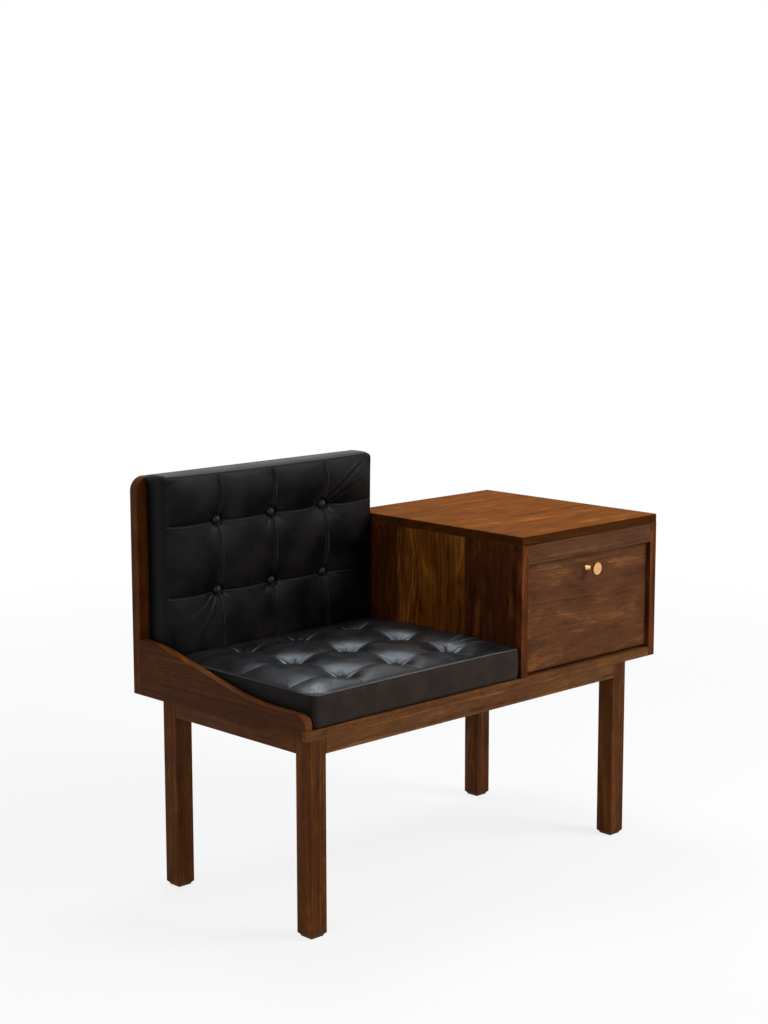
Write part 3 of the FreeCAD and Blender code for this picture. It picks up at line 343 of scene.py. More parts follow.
@dataclass(frozen=True)
class WoodFinish:
    """Stained hardwood with streaks along the grain, pores, smoky figure and worn arrises."""

    name: str
    dark: Colour
    middle: Colour
    light: Colour
    worn: Colour
    grain: Axis
    seed: float
    smoke: float = 0.5
    mottle: float = 0.25
    streaky: float = 0.36
    ringy: float = 0.26
    curly: float = 0.05
    wear: float = 0.6
    rough: tuple[float, float] = (0.5, 0.66)
    shine: float = 0.06
    curl: tuple[float, float] = (13.0, 26.0)
    fleck: float = 0.45
    # a factor on the colour of faces turned away from flat_axis: above 1 it paints light on them,
    # below 1 it darkens them
    edge: float = 1.0
    flat_axis: Axis = Axis.Z
    across: Axis = Axis.Y
    staves: tuple[Stave, ...] = ()

    def _along(self, g: Graph) -> Any:
        """Object coordinates with the grain along the first axis.

        Args:
            g: The material being made.

        Returns:
            The coordinates.
        """
        split = g.node("SeparateXYZ", {0: g.where()})
        order = [self.grain.value, (self.grain.value + 1) % 3, (self.grain.value + 2) % 3]
        joined = g.node("CombineXYZ", {i: split.outputs[k] for i, k in enumerate(order)})
        return joined.outputs[0]

    def _stave(self, g: Graph) -> tuple[Any, Any, Any]:
        """Each stave's tone, a number of its own and the glue line between staves.

        Args:
            g: The material being made.

        Returns:
            The tint colour, a 0 to 1 number and a 0 to 1 joint mask.
        """
        place = g.node("SeparateXYZ", {0: g.where()}).outputs[self.across.value]
        limits = {"From Min": -0.5, "From Max": 0.5, "To Min": 0, "To Max": 1}
        span = g.node("MapRange", {"Value": place, **limits}).outputs["Result"]
        tints = [(s.start + 0.5, s.tint) for s in self.staves]
        ones = [
            (s.start + 0.5, ((k * 0.37) % 1.0,) * 3 + (1.0,)) for k, s in enumerate(self.staves)
        ]
        tint = g.ramp(span, tints, steps=True)
        number = g.node("RGBToBW", {0: g.ramp(span, ones, steps=True)}).outputs[0]
        joint = None
        for stave in self.staves[1:]:
            gap = g.math("ABSOLUTE", g.math("SUBTRACT", place, stave.start))
            line = g.spread(gap, 0.0003, 0.0012, to=(1, 0))
            joint = line if joint is None else g.math("MAXIMUM", joint, line)
        return tint, number, joint

    def build(self) -> bpy.types.Material:
        """Makes the material.

        The colour follows a weighted sum of growth rings round a far pith, long streaks, short
        fibres and mottle. Smoky patches darken it, pores are short dark dashes, and the arrises
        that a bevelled normal finds are worn lighter.

        Returns:
            The material.
        """
        g = Graph(self.name)
        along = self._along(g)
        tint = joint = None
        if self.staves:
            tint, number, joint = self._stave(g)
            push = g.node("CombineXYZ", {0: number, 1: number, 2: number}).outputs[0]
            along = g.node("VectorMath", {0: along, 1: push}, operation="ADD").outputs[0]
        shift = (self.seed, self.seed * 1.7, self.seed * 0.6)
        wander = g.noise(g.stretched(along, (1.6, 6, 6), shift), 1.0, 2, 0.5, 0.6)
        split = g.node("SeparateXYZ", {0: g.stretched(along, (1, 1, 1), (0, 0.06, 0.13))})
        wide = g.math("POWER", split.outputs[1], 2.0)
        deep = g.math("POWER", split.outputs[2], 2.0)
        pith = g.math("SQRT", g.math("ADD", wide, deep))
        ring = g.math("MULTIPLY_ADD", wander, self.curly, pith)
        rings = g.node(
            "TexNoise", {"W": g.math("MULTIPLY", ring, 190.0), "Scale": 1.0, "Detail": 2.0},
            noise_dimensions="1D",
        ).outputs[0]
        streak = g.noise(g.stretched(along, (2.6, 62, 62), shift), 1.0, 5, 0.62, 0.35)
        fibre = g.noise(g.stretched(along, (26, 620, 620), shift), 1.0, 3, 0.6)
        pore = g.noise(g.stretched(along, (46, 1150, 1150), shift), 1.0, 2, 0.5)
        cloud = g.noise(g.stretched(along, (4.5, 9, 9), shift), 1.0, 4, 0.55, 1.4)
        coil = (self.curl[0], self.curl[1], self.curl[1])
        curl = g.noise(g.stretched(along, coil, shift), 1.0, 4, 0.55, 1.3)
        body = g.math("MULTIPLY_ADD", streak, self.streaky, g.math("MULTIPLY", rings, self.ringy))
        body = g.math("MULTIPLY_ADD", fibre, 0.16, body)
        body = g.math("MULTIPLY_ADD", curl, self.mottle, body)
        centre = 0.5 * (self.streaky + self.ringy + 0.16 + self.mottle)
        stops = [
            (max(0.0, centre - 0.14), self.dark),
            (centre, self.middle),
            (min(1.0, centre + 0.13), self.light),
        ]
        colour = g.ramp(body, stops)
        if tint is not None:
            colour = g.mix(1.0, colour, tint, "MULTIPLY")
        haze = g.math("MULTIPLY", g.spread(cloud, 0.46, 0.68), self.smoke)
        colour = g.mix(haze, colour, self.dark)
        holes = g.spread(pore, 0.60, 0.70)
        colour = g.mix(g.math("MULTIPLY", holes, 0.55), colour, self.dark)
        fleck = g.noise(g.stretched(along, (52, 270, 270), shift), 1.0, 3, 0.6)
        colour = g.mix(g.spread(fleck, 0.54, 0.72, to=(0.0, self.fleck)), colour, self.dark)
        round_edge = g.node("Bevel", {"Radius": 0.0022}, samples=4).outputs[0]
        flat = g.node("NewGeometry").outputs["Normal"]
        meet = g.node("VectorMath", {0: round_edge, 1: flat}, operation="DOT_PRODUCT")
        edge = g.spread(meet.outputs["Value"], 0.80, 0.985, to=(1, 0))
        patchy = g.spread(g.noise(g.where(), 34.0, 4, 0.6), 0.36, 0.66)
        wear_and_highlight = g.math("MULTIPLY", g.math("MULTIPLY", edge, patchy), self.wear)
        colour = g.mix(wear_and_highlight, colour, self.worn)
        if joint is not None:
            colour = g.mix(g.math("MULTIPLY", joint, 0.6), colour, self.dark)
        # Faces turned away from flat_axis take their colour times edge. On the case this is
        # painted light on the front and top faces, as if lit from the front and above; on the
        # scroll side it is painted light from above and partly wear; on the cabinet top the side
        # faces are darker.
        if self.edge != 1.0:
            split = g.node("SeparateXYZ", {0: flat}).outputs[self.flat_axis.value]
            turned_away = g.spread(g.math("ABSOLUTE", split), 0.35, 0.8, to=(1, 0))
            colour = g.mix(turned_away, colour, g.mix(1.0, colour, grey(self.edge), "MULTIPLY"))
        relief = g.math("MULTIPLY_ADD", holes, -0.7, g.math("MULTIPLY", fibre, 0.5))
        relief = g.math("MULTIPLY_ADD", streak, 0.35, relief)
        normal = g.bump(relief, 0.35, 0.0004, round_edge)
        gloss = g.math("MULTIPLY_ADD", cloud, 0.4, g.math("MULTIPLY", streak, 0.6))
        return g.finish(
            Base_Color=colour,
            Roughness=g.spread(gloss, 0.25, 0.75, to=self.rough),
            Specular_IOR_Level=self.shine,
            Normal=normal,
        )


@dataclass(frozen=True)
class HideFinish:
    """Dark upholstery leather: fine pebbled grain, hair creases and an uneven sheen."""

    name: str
    base: Colour
    tone: Colour
    pebbles: float = 1050.0
    rough: tuple[float, float] = (0.33, 0.46)
    shine: float = 0.22
    tint: Colour = (0.86, 0.92, 1.0, 1.0)
    # colour of the painted highlight along pleats and creases
    painted_highlight: Colour = (0.2, 0.21, 0.23, 1.0)
    clouds: float = 26.0
    steady: float = 0.2

    def build(self) -> bpy.types.Material:
        """Makes the material.

        The height is a layer of small pebbles, shallow hair creases along stretched cell edges
        and slow waves. The colour shifts between two near blacks in clouds. The piece's fold
        attribute is above 0 where a highlight is painted pale along a pleat or crease, and below 0
        where shade is painted near black: in the seams, along the face's rim and on the border's
        sides.

        Returns:
            The material.
        """
        g = Graph(self.name)
        here = g.where()
        drift = g.noise(here, self.clouds, 3, 0.5)
        shaken = g.node(
            "Mix", {0: 0.004, 4: here, 5: g.node("TexNoise", {0: here, 2: 60.0}).outputs[1]},
            data_type="VECTOR",
        ).outputs[1]
        pebble = g.cells(shaken, self.pebbles)
        vein = g.cells(g.stretched(shaken, (1, 1.25, 0.9), (0, 0, 0)), 170.0, edges=True)
        crease = g.spread(vein, 0.0, 0.10, to=(1, 0))
        some = g.spread(g.noise(here, 42.0, 2, 0.5), 0.46, 0.66)
        crease = g.math("MULTIPLY", crease, some)
        height = g.math("MULTIPLY_ADD", crease, -0.6, g.math("MULTIPLY", pebble, -0.5))
        fine = g.bump(height, 0.32, 0.00035)
        slow = g.noise(here, 34.0, 3, 0.5, 0.4)
        normal = g.bump(slow, 0.5, 0.0016, fine)
        colour = g.mix(g.spread(drift, 0.35, 0.68), self.base, self.tone)
        # painted shade: the hair creases are darker
        colour = g.mix(g.math("MULTIPLY", crease, 0.35), colour, paint(9, 8, 8))
        fold = g.node("Attribute", attribute_name="fold").outputs["Fac"]
        # painted highlight: pale, in patches, where the fold attribute is above 0
        patchy_highlight = g.spread(g.noise(here, 38.0, 4, 0.65), 0.38, 0.62, to=(self.steady, 1))
        pale = g.math("MULTIPLY", g.spread(fold, 0.05, 1.0), patchy_highlight)
        colour = g.mix(pale, colour, self.painted_highlight)
        # painted shade: near black, and rougher, where the fold attribute is below 0
        painted_shade = g.spread(fold, -1.0, -0.05, to=(1, 0))
        colour = g.mix(painted_shade, colour, paint(4, 3, 3))
        gloss = g.math("MULTIPLY_ADD", crease, 0.25, drift)
        gloss = g.math("ADD", gloss, painted_shade)
        return g.finish(
            Base_Color=colour,
            Roughness=g.spread(gloss, 0.3, 0.8, to=self.rough),
            Specular_IOR_Level=self.shine,
            Specular_Tint=self.tint,
            Normal=normal,
        )


@dataclass(frozen=True)
class MetalFinish:
    """Turned, brushed or pressed metal with faint tarnish and fine tool lines."""

    name: str
    bright: Colour
    tarnish: Colour
    rough: tuple[float, float] = (0.2, 0.34)
    lines: tuple[float, float, float] = (900.0, 900.0, 120.0)
    dullness: float = 0.35

    def build(self) -> bpy.types.Material:
        """Makes the material from stretched tool lines and clouds of tarnish.

        Returns:
            The material.
        """
        g = Graph(self.name)
        tool = g.noise(g.stretched(g.where(), self.lines, (0, 0, 0)), 1.0, 2, 0.5)
        cloud = g.noise(g.where(), 130.0, 4, 0.6)
        dull = g.math("MULTIPLY", g.spread(cloud, 0.45, 0.75), self.dullness)
        colour = g.mix(dull, self.bright, self.tarnish)
        mixed = g.math("MULTIPLY_ADD", cloud, 0.6, g.math("MULTIPLY", tool, 0.4))
        return g.finish(
            Base_Color=colour,
            Metallic=1.0,
            Roughness=g.spread(mixed, 0.25, 0.75, to=self.rough),
            Normal=g.bump(tool, 0.25, 0.0001),
        )


@dataclass(frozen=True)
class FibreFinish:
    """Felt, woven tape and other matt fibre."""

    name: str
    base: Colour
    tone: Colour
    scale: float = 900.0
    woven: bool = False

    def build(self) -> bpy.types.Material:
        """Makes the material from tangled fibres, or from rows of small loops.

        Returns:
            The material.
        """
        g = Graph(self.name)
        if self.woven:
            height = g.math("SUBTRACT", 1.0, g.cells(g.where(), self.scale))
        else:
            height = g.noise(g.where(), self.scale, 4, 0.7, 2.0)
        patch = g.noise(g.where(), 90.0, 3, 0.6)
        mixed = g.math("MULTIPLY_ADD", height, 0.6, g.math("MULTIPLY", patch, 0.4))
        colour = g.mix(g.spread(mixed, 0.25, 0.75), self.base, self.tone)
        return g.finish(
            Base_Color=colour,
            Roughness=g.spread(patch, 0.3, 0.7, to=(0.85, 0.98)),
            Specular_IOR_Level=0.15,
            Normal=g.bump(height, 0.7, 0.0006),
        )


@dataclass(frozen=True)
class MouldedFinish:
    """Moulded plastic with a fine spark texture and slight wear."""

    name: str
    base: Colour
    tone: Colour

    def build(self) -> bpy.types.Material:
        """Makes the material from a fine pitted texture and slow shifts of tone.

        Returns:
            The material.
        """
        g = Graph(self.name)
        pits = g.noise(g.where(), 2200.0, 2, 0.5)
        slow = g.noise(g.where(), 160.0, 3, 0.5)
        return g.finish(
            Base_Color=g.mix(g.spread(slow, 0.35, 0.7), self.base, self.tone),
            Roughness=g.spread(slow, 0.3, 0.7, to=(0.42, 0.55)),
            Specular_IOR_Level=0.4,
            Normal=g.bump(pits, 0.3, 0.00015),
        )


def grey(level: float) -> Colour:
    """A neutral tint that dims a stave by a factor."""
    return (level, level, level, 1.0)


class Finishes:
    """Every finish of the bench, made once."""

    def __init__(self) -> None:
        """Builds the materials."""
        wood = dict(worn=paint(138, 88, 48))
        self.leg = WoodFinish(
            "wood_leg", paint(50, 24, 5), paint(81, 43, 14), paint(110, 64, 26),
            grain=Axis.Z, seed=3.1, smoke=0.3, wear=0.4, **wood,
        ).build()
        self.apron_x = WoodFinish(
            "wood_apron_long", paint(60, 33, 14), paint(94, 59, 31), paint(124, 80, 45),
            grain=Axis.X, seed=5.7, smoke=0.35, wear=0.4, **wood,
        ).build()
        self.apron_y = WoodFinish(
            "wood_apron_short", paint(52, 27, 12), paint(80, 46, 23), paint(106, 65, 36),
            grain=Axis.Y, seed=7.9, smoke=0.35, wear=0.4, **wood,
        ).build()
        self.lipping = WoodFinish(
            "wood_lipping", paint(60, 32, 13), paint(96, 59, 29), paint(138, 88, 48),
            grain=Axis.X, seed=11.3, smoke=0.35, wear=0.5, **wood,
        ).build()
        self.board = WoodFinish(
            "wood_seat_board", paint(48, 25, 12), paint(78, 45, 24), paint(104, 64, 36),
            grain=Axis.X, seed=13.9, smoke=0.4, **wood,
        ).build()
        # edge: the top and front faces are painted lighter than the X faces, as light from above,
        # and partly wear.
        self.side = WoodFinish(
            "wood_scroll_side", paint(40, 18, 3), paint(64, 32, 9), paint(92, 51, 20),
            grain=Axis.Y, seed=17.2, smoke=0.4, mottle=0.2, wear=0.9, edge=2.1,
            flat_axis=Axis.X, **wood,
        ).build()
        self.back = WoodFinish(
            "wood_back_panel", paint(46, 19, 2), paint(78, 39, 9), paint(112, 64, 24),
            grain=Axis.Z, seed=19.4, smoke=0.35, across=Axis.X,
            staves=(
                Stave(-0.5, grey(1.0)), Stave(-0.34, grey(0.85)), Stave(-0.2, grey(1.05)),
                Stave(-0.05, grey(0.9)),
            ),
            **wood,
        ).build()
        # edge: the front and top faces are painted lighter than the X faces, as light from the
        # front.
        self.case = WoodFinish(
            "wood_cabinet_side", paint(44, 17, 2), paint(88, 45, 11), paint(130, 78, 28),
            grain=Axis.Z, seed=23.6, smoke=0.28, mottle=0.44, curly=0.16, wear=0.5,
            streaky=0.26, curl=(9.0, 24.0), edge=1.7, flat_axis=Axis.X,
            staves=(
                Stave(-0.5, (0.5, 0.42, 0.55, 1.0)), Stave(-0.0878, (1.2, 1.26, 1.1, 1.0)),
                Stave(0.1, (0.42, 0.32, 0.5, 1.0)),
            ),
            **wood,
        ).build()
        # edge: the top's side faces are darker than its upper face.
        self.top = WoodFinish(
            "wood_cabinet_top", paint(84, 45, 13), paint(119, 67, 24), paint(158, 97, 42),
            grain=Axis.X, seed=29.1, smoke=0.3, mottle=0.16, wear=0.55, edge=0.27,
            rough=(0.7, 0.82), shine=0.02,
            staves=(
                Stave(-0.5, grey(0.96)), Stave(-0.12, (1.06, 1.02, 0.96, 1.0)),
                Stave(0.02, grey(0.92)), Stave(0.13, (1.04, 1.0, 0.98, 1.0)),
            ),
            **wood,
        ).build()
        self.flap = WoodFinish(
            "wood_flap", paint(54, 30, 14), paint(87, 52, 27), paint(120, 76, 42),
            grain=Axis.X, seed=36.1, smoke=0.3, mottle=0.42, streaky=0.2, ringy=0.12, wear=0.3,
            curl=(8.0, 24.0), curly=0.1,
            **wood,
        ).build()
        self.rail = WoodFinish(
            "wood_rail", paint(56, 33, 18), paint(82, 51, 29), paint(106, 69, 43),
            grain=Axis.X, seed=37.5, smoke=0.3, mottle=0.2, wear=0.3, **wood,
        ).build()
        self.plain = WoodFinish(
            "wood_plain", paint(120, 84, 48), paint(168, 126, 80), paint(196, 158, 108),
            worn=paint(208, 174, 126), grain=Axis.X, seed=41.2, smoke=0.2, rough=(0.55, 0.7),
        ).build()
        self.ply = WoodFinish(
            "wood_back_sheet", paint(78, 48, 24), paint(118, 78, 42), paint(146, 102, 60),
            worn=paint(170, 128, 84), grain=Axis.Z, seed=43.6, smoke=0.3, rough=(0.5, 0.66),
        ).build()
        # The seat's and the back's pale colours are painted highlights along pleats and creases.
        self.hide_seat = HideFinish(
            "hide_seat", paint(15, 12, 12), paint(24, 21, 21), rough=(0.32, 0.42), shine=0.27,
            painted_highlight=paint(172, 178, 190), steady=0.75,
        ).build()
        self.hide_border = HideFinish(
            "hide_border", paint(33, 25, 22), paint(42, 33, 29), rough=(0.4, 0.5), shine=0.09,
            tint=(1.0, 0.92, 0.86, 1.0),
        ).build()
        self.hide_back = HideFinish(
            "hide_back", paint(4, 4, 4), paint(23, 20, 19), painted_highlight=paint(54, 53, 54),
            clouds=13.0, rough=(0.36, 0.46), shine=0.08,
        ).build()
        self.hide_button = HideFinish(
            "hide_button", paint(20, 19, 19), paint(32, 31, 31), rough=(0.36, 0.46), shine=0.16
        ).build()
        self.thread = FibreFinish("thread", paint(30, 29, 30), paint(52, 50, 50)).build()
        self.copper = MetalFinish(
            "copper", paint(228, 172, 118), paint(190, 132, 82), (0.2, 0.32)
        ).build()
        self.brass = MetalFinish("brass", paint(206, 168, 96), paint(150, 112, 58)).build()
        self.steel = MetalFinish("steel", paint(178, 178, 176), paint(120, 116, 110)).build()
        self.felt = FibreFinish("felt", paint(22, 20, 18), paint(44, 40, 36)).build()
        self.tape = FibreFinish("tape", paint(18, 18, 19), paint(40, 40, 42), 700.0, True).build()
        self.catch = MouldedFinish("catch_plastic", paint(70, 46, 28), paint(88, 60, 38)).build()


@dataclass
class Skin:
    """A mesh in the making: its points and its faces, a list of index arrays."""

    points: Array
    faces: list[Array]

    @staticmethod
    def joined(skins: Sequence["Skin"]) -> "Skin":
        """Puts several skins into one.

        Args:
            skins: The skins.

        Returns:
            One skin that holds them all.
        """
        starts = np.cumsum([0] + [len(s.points) for s in skins])
        faces = [f + start for s, start in zip(skins, starts) for f in s.faces]
        return Skin(np.concatenate([s.points for s in skins]), faces)

    def placed(self, centre: Sequence[float], towards: Sequence[float], turn: float) -> "Skin":
        """Turns the skin's Z axis to a direction and moves its origin to a point.

        Args:
            centre: Where the origin goes.
            towards: The direction that Z takes.
            turn: A turn about that direction, in radians.

        Returns:
            The placed skin.
        """
        upright = Vector(towards).to_track_quat("Z", "Y").to_matrix()
        spun = upright @ Euler((0.0, 0.0, turn)).to_matrix()
        matrix = np.array(spun)
        return Skin(self.points @ matrix.T + np.asarray(centre, float), self.faces)

    def made(self, name: str, material: bpy.types.Material, smooth: bool = True) -> Any:
        """Makes the object, at the origin.

        Args:
            name: The piece's name.
            material: Its finish.
            smooth: True for smooth shading.

        Returns:
            The new object.
        """
        mesh = bpy.data.meshes.new(name)
        faces = [tuple(map(int, f)) for block in self.faces for f in block]
        mesh.from_pydata(self.points.tolist(), [], faces)
        mesh.polygons.foreach_set("use_smooth", [smooth] * len(faces))
        mesh.materials.append(material)
        mesh.update()
        piece = bpy.data.objects.new(name, mesh)
        bpy.context.scene.collection.objects.link(piece)
        return piece


def lattice(rows: int, columns: int, wrap: bool = False) -> Array:
    """Faces of a grid of points in row order.

    Args:
        rows: Rows of points.
        columns: Points in a row.
        wrap: True if each row's last point meets its first.

    Returns:
        Quads as point numbers, turned outwards where columns run anticlockwise and rows run up.
    """
    last = columns if wrap else columns - 1
    row, column = np.meshgrid(np.arange(rows - 1), np.arange(last), indexing="ij")
    after = (column + 1) % columns
    quads = [row * columns + column, row * columns + after]
    quads += [(row + 1) * columns + after, (row + 1) * columns + column]
    return np.stack(quads, -1).reshape(-1, 4)


def fan(ring: Array, pole: int, up: bool) -> Array:
    """Triangles that close a ring at a pole.

    Args:
        ring: The ring's point numbers, anticlockwise from above.
        pole: The pole's point number.
        up: True if the pole is above the ring.

    Returns:
        The triangles.
    """
    after = np.roll(ring, -1)
    tip = np.full(len(ring), pole)
    return np.stack([ring, after, tip] if up else [after, ring, tip], -1)


def turned(radii: Array, heights: Array, sides: int, dent: Array | None = None) -> Skin:
    """A turned shape: each height's circle has its radius, and both ends close at a pole.

    Args:
        radii: The radius at each height, from the bottom.
        heights: The heights.
        sides: Points round a circle.
        dent: A depth for each point of each circle, taken off its height.

    Returns:
        The closed skin, with its axis along Z.
    """
    angle = np.linspace(0, 2 * np.pi, sides, endpoint=False)
    x = radii[:, None] * np.cos(angle)
    y = radii[:, None] * np.sin(angle)
    z = np.repeat(heights[:, None], sides, 1) - (0.0 if dent is None else dent)
    points = np.stack([x, y, z], -1).reshape(-1, 3)
    ends = [[0.0, 0.0, float(z[0].mean())], [0.0, 0.0, float(z[-1].mean())]]
    count = len(points)
    ring = np.arange(sides)
    faces = [
        lattice(len(radii), sides, wrap=True),
        fan(ring, count, up=False),
        fan(ring + count - sides, count + 1, up=True),
    ]
    return Skin(np.concatenate([points, ends]), faces)


def screw_head(radius: float, depth: float, cross: bool) -> Skin:
    """A countersunk head, flush with Z 0, with a slot or a cross cut into it.

    The head's top is a shallow dome. A point lies in the recess where its distance from the slot's
    middle line is under half the slot's width, and the recess fades out towards the rim.

    Args:
        radius: The head's radius.
        depth: How deep its cone goes.
        cross: True for a cross recess.

    Returns:
        The closed skin.
    """
    sides = 32
    share = np.array([0.12, 0.3, 0.5, 0.64, 0.78, 0.9, 1.0])
    radii = np.concatenate([[0.45, 0.8, 1.0], share[::-1]]) * radius
    dome = 0.07 * radius * (1 - share**2)
    heights = np.concatenate([[-depth, -0.5 * depth, -0.1 * depth], dome[::-1]])
    angle = np.linspace(0, 2 * np.pi, sides, endpoint=False)
    x = radii[:, None] * np.cos(angle)
    y = radii[:, None] * np.sin(angle)
    gap = np.minimum(abs(x), abs(y)) if cross else abs(y)
    reach = 0.7 if cross else 1.2
    inside = (gap < 0.2 * radius) & (np.hypot(x, y) < reach * radius)
    inside[:3] = False
    return turned(radii, heights, sides, np.where(inside, 0.35 * depth, 0.0))


def shown(piece: Any, body: Body, slot: Slot, *replaced: str) -> Any:
    """Lets a new piece ride, hides the CAD nodes that it stands for and reports it.

    Args:
        piece: The piece.
        body: The body that it rides on.
        slot: A slot name; not used.
        replaced: The CAD nodes that it stands for.

    Returns:
        The piece.
    """
    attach(piece, body.value)
    if replaced:
        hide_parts(*replaced)
    log.info("%s: %d faces on %s", piece.name, len(piece.data.polygons), body.value)
    return piece


def dressed(nodes: Nodes, names: Sequence[str], material: bpy.types.Material) -> None:
    """Gives CAD nodes a finish.

    Args:
        nodes: The frame's nodes by name.
        names: The nodes to dress.
        material: Their finish.
    """
    for name in names:
        mesh = nodes[name].data
        mesh.materials.clear()
        mesh.materials.append(material)
        log.info("%s: %s", name, material.name)


@dataclass(frozen=True)
class Crease:
    """A pull line in the leather from one point of the tufted face to another."""

    start: tuple[float, float]
    end: tuple[float, float]
    depth: float
    width: float = 2.6 * MM


@dataclass
class Cushion:
    """A boxed leather cushion: tufts joined by sewn seams, a plain border and stitched edges.

    Its own frame has u and v in the plane that it rests on, from its CAD solid's corner, and w
    out of that plane. Lengths are in metres.
    """

    name: str
    node: str
    facing: Facing
    border: float
    crown: float
    tufts_u: tuple[float, ...]
    tufts_v: tuple[float, ...]
    seam_along_v: float
    seam_along_u: float
    tuft_drop: float
    funnel: float
    lip_along_v: float
    lip_along_u: float
    twin_pleat: float = 0.0
    sag: float = 0.0
    groove: float = 1.4 * MM
    pucker: float = 0.32 * MM
    rim_groove: float = 0.3 * MM
    # strength of the painted highlight along the pleat lips
    pleat_highlight: float = 0.4
    pleat_gap: float = 2.4 * MM
    pleat_wide: float = 1.2 * MM
    spread: float = 2.3
    tie_radius: float = 5 * MM
    tie_depth: float = 2.4 * MM
    rounding: float = 1.2 * MM
    plump: float = 2.5
    seam_hold: float = 0.3
    shoulder: float = 62 * MM
    corner: float = 14 * MM
    pull_in: float = 2.5 * MM
    creases: tuple[Crease, ...] = ()
    pressure: float = 4.0
    cap: float = 5 * MM
    fill: float = 0.8
    seed: int = 4

    def __post_init__(self) -> None:
        """Reads the space that the CAD solid holds."""
        low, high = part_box(self.node)
        self.low = np.array(low)
        self.high = np.array(high)
        size = self.high - self.low
        up = self.facing is Facing.UP
        self.width = float(size[0])
        self.depth = float(size[1] if up else size[2])
        self.height = float(size[2] if up else size[1])

    def to_row(self, points: Array) -> Array:
        """Cushion points in the row frame: u is +X, and w is +Z or -Y as the cushion faces.

        Args:
            points: The points.

        Returns:
            The points in the row frame.
        """
        u, v, w = points.T
        if self.facing is Facing.UP:
            return np.stack([self.low[0] + u, self.low[1] + v, self.low[2] + w], -1)
        return np.stack([self.low[0] + u, self.high[1] - w, self.low[2] + v], -1)

    def from_row(self, points: Array) -> Array:
        """Row frame points in the cushion's own frame.

        Args:
            points: The points.

        Returns:
            The points in the cushion's frame.
        """
        x, y, z = points.T
        if self.facing is Facing.UP:
            return np.stack([x - self.low[0], y - self.low[1], z - self.low[2]], -1)
        return np.stack([x - self.low[0], z - self.low[2], self.high[1] - y], -1)

    def _stations(self, tufts: Sequence[float], end: float, step: float) -> Array:
        """Grid lines across the face, closer together at the seams and edges.

        Args:
            tufts: Where the seams run.
            end: The face's width.
            step: The mean spacing.

        Returns:
            The lines' places, each seam's among them.
        """
        marks = [0.0, *tufts, end]
        lines = [np.zeros(1)]
        for first, last in zip(marks[:-1], marks[1:]):
            share = np.linspace(0, 1, max(6, round((last - first) / step)) + 1)[1:]
            share = share - 0.6 * np.sin(2 * np.pi * share) / (2 * np.pi)
            lines.append(first + (last - first) * share)
        return np.concatenate(lines)

    def _outline(self, u: Array, v: Array) -> tuple[Array, Array]:
        """The face's grid with round corners and sides that pull in between them.

        Near a corner a point of the square cell moves onto the quarter disc in it, and the pull
        is strongest at the middle of a side and fades inwards and towards the corners.

        Args:
            u: Places across.
            v: Places up the face.

        Returns:
            The moved places.
        """
        r = self.corner
        cu = np.clip(u, r, self.width - r)
        cv = np.clip(v, r, self.depth - r)
        du, dv = (u - cu) / r, (v - cv) / r
        u = cu + r * du * np.sqrt(1 - dv**2 / 2)
        v = cv + r * dv * np.sqrt(1 - du**2 / 2)
        a, b = 2 * u / self.width - 1, 2 * v / self.depth - 1
        inner_u = np.sign(a) * abs(a) ** 7 * (1 - abs(b) ** 3)
        inner_v = np.sign(b) * abs(b) ** 7 * (1 - abs(a) ** 3)
        return u - self.pull_in * inner_u, v - self.pull_in * inner_v

    def _near_tuft(self, u: Array, v: Array) -> Array:
        """Distance to the nearest tuft."""
        away = [np.hypot(u - a, v - b) for a in self.tufts_u for b in self.tufts_v]
        return np.min(away, axis=0)

    def _lift(self, u: Array, v: Array) -> Array:
        """The stuffed height over the border: a crown, less the seams' and tufts' drops.

        The crown rises from the border as a round shoulder. Each seam's valley falls with a power
        of the distance to it, crossing valleys meet as the deeper one, and a cone with rounded
        sides takes each tuft down from there.

        Args:
            u: Places across.
            v: Places up the face.

        Returns:
            The height above the border's top.
        """
        reach = self.shoulder
        eu = 1 - np.clip(np.minimum(u, self.width - u) / reach, 0, 1)
        ev = 1 - np.clip(np.minimum(v, self.depth - v) / reach, 0, 1)
        edge = np.clip((eu**2.4 + ev**2.4) ** (1 / 2.4), 0, 1)
        dome = 1 - edge**self.spread
        wide = 62 * MM
        across_u = np.min([abs(u - a) for a in self.tufts_u], axis=0)
        across_v = np.min([abs(v - b) for b in self.tufts_v], axis=0)
        valley_u = self.seam_along_v * (1 - np.clip(across_u / wide, 0, 1)) ** self.plump
        valley_v = self.seam_along_u * (1 - np.clip(across_v / wide, 0, 1)) ** self.plump
        valley = (valley_u**3 + valley_v**3) ** (1 / 3)
        cone = (1 - np.clip(self._near_tuft(u, v) / self.funnel, 0, 1)) ** 1.7
        deepest = max(self.seam_along_u, self.seam_along_v)
        drop = valley + (self.tuft_drop - deepest) * cone
        return self.crown * dome - drop * np.clip(1.15 * dome, 0, 1)

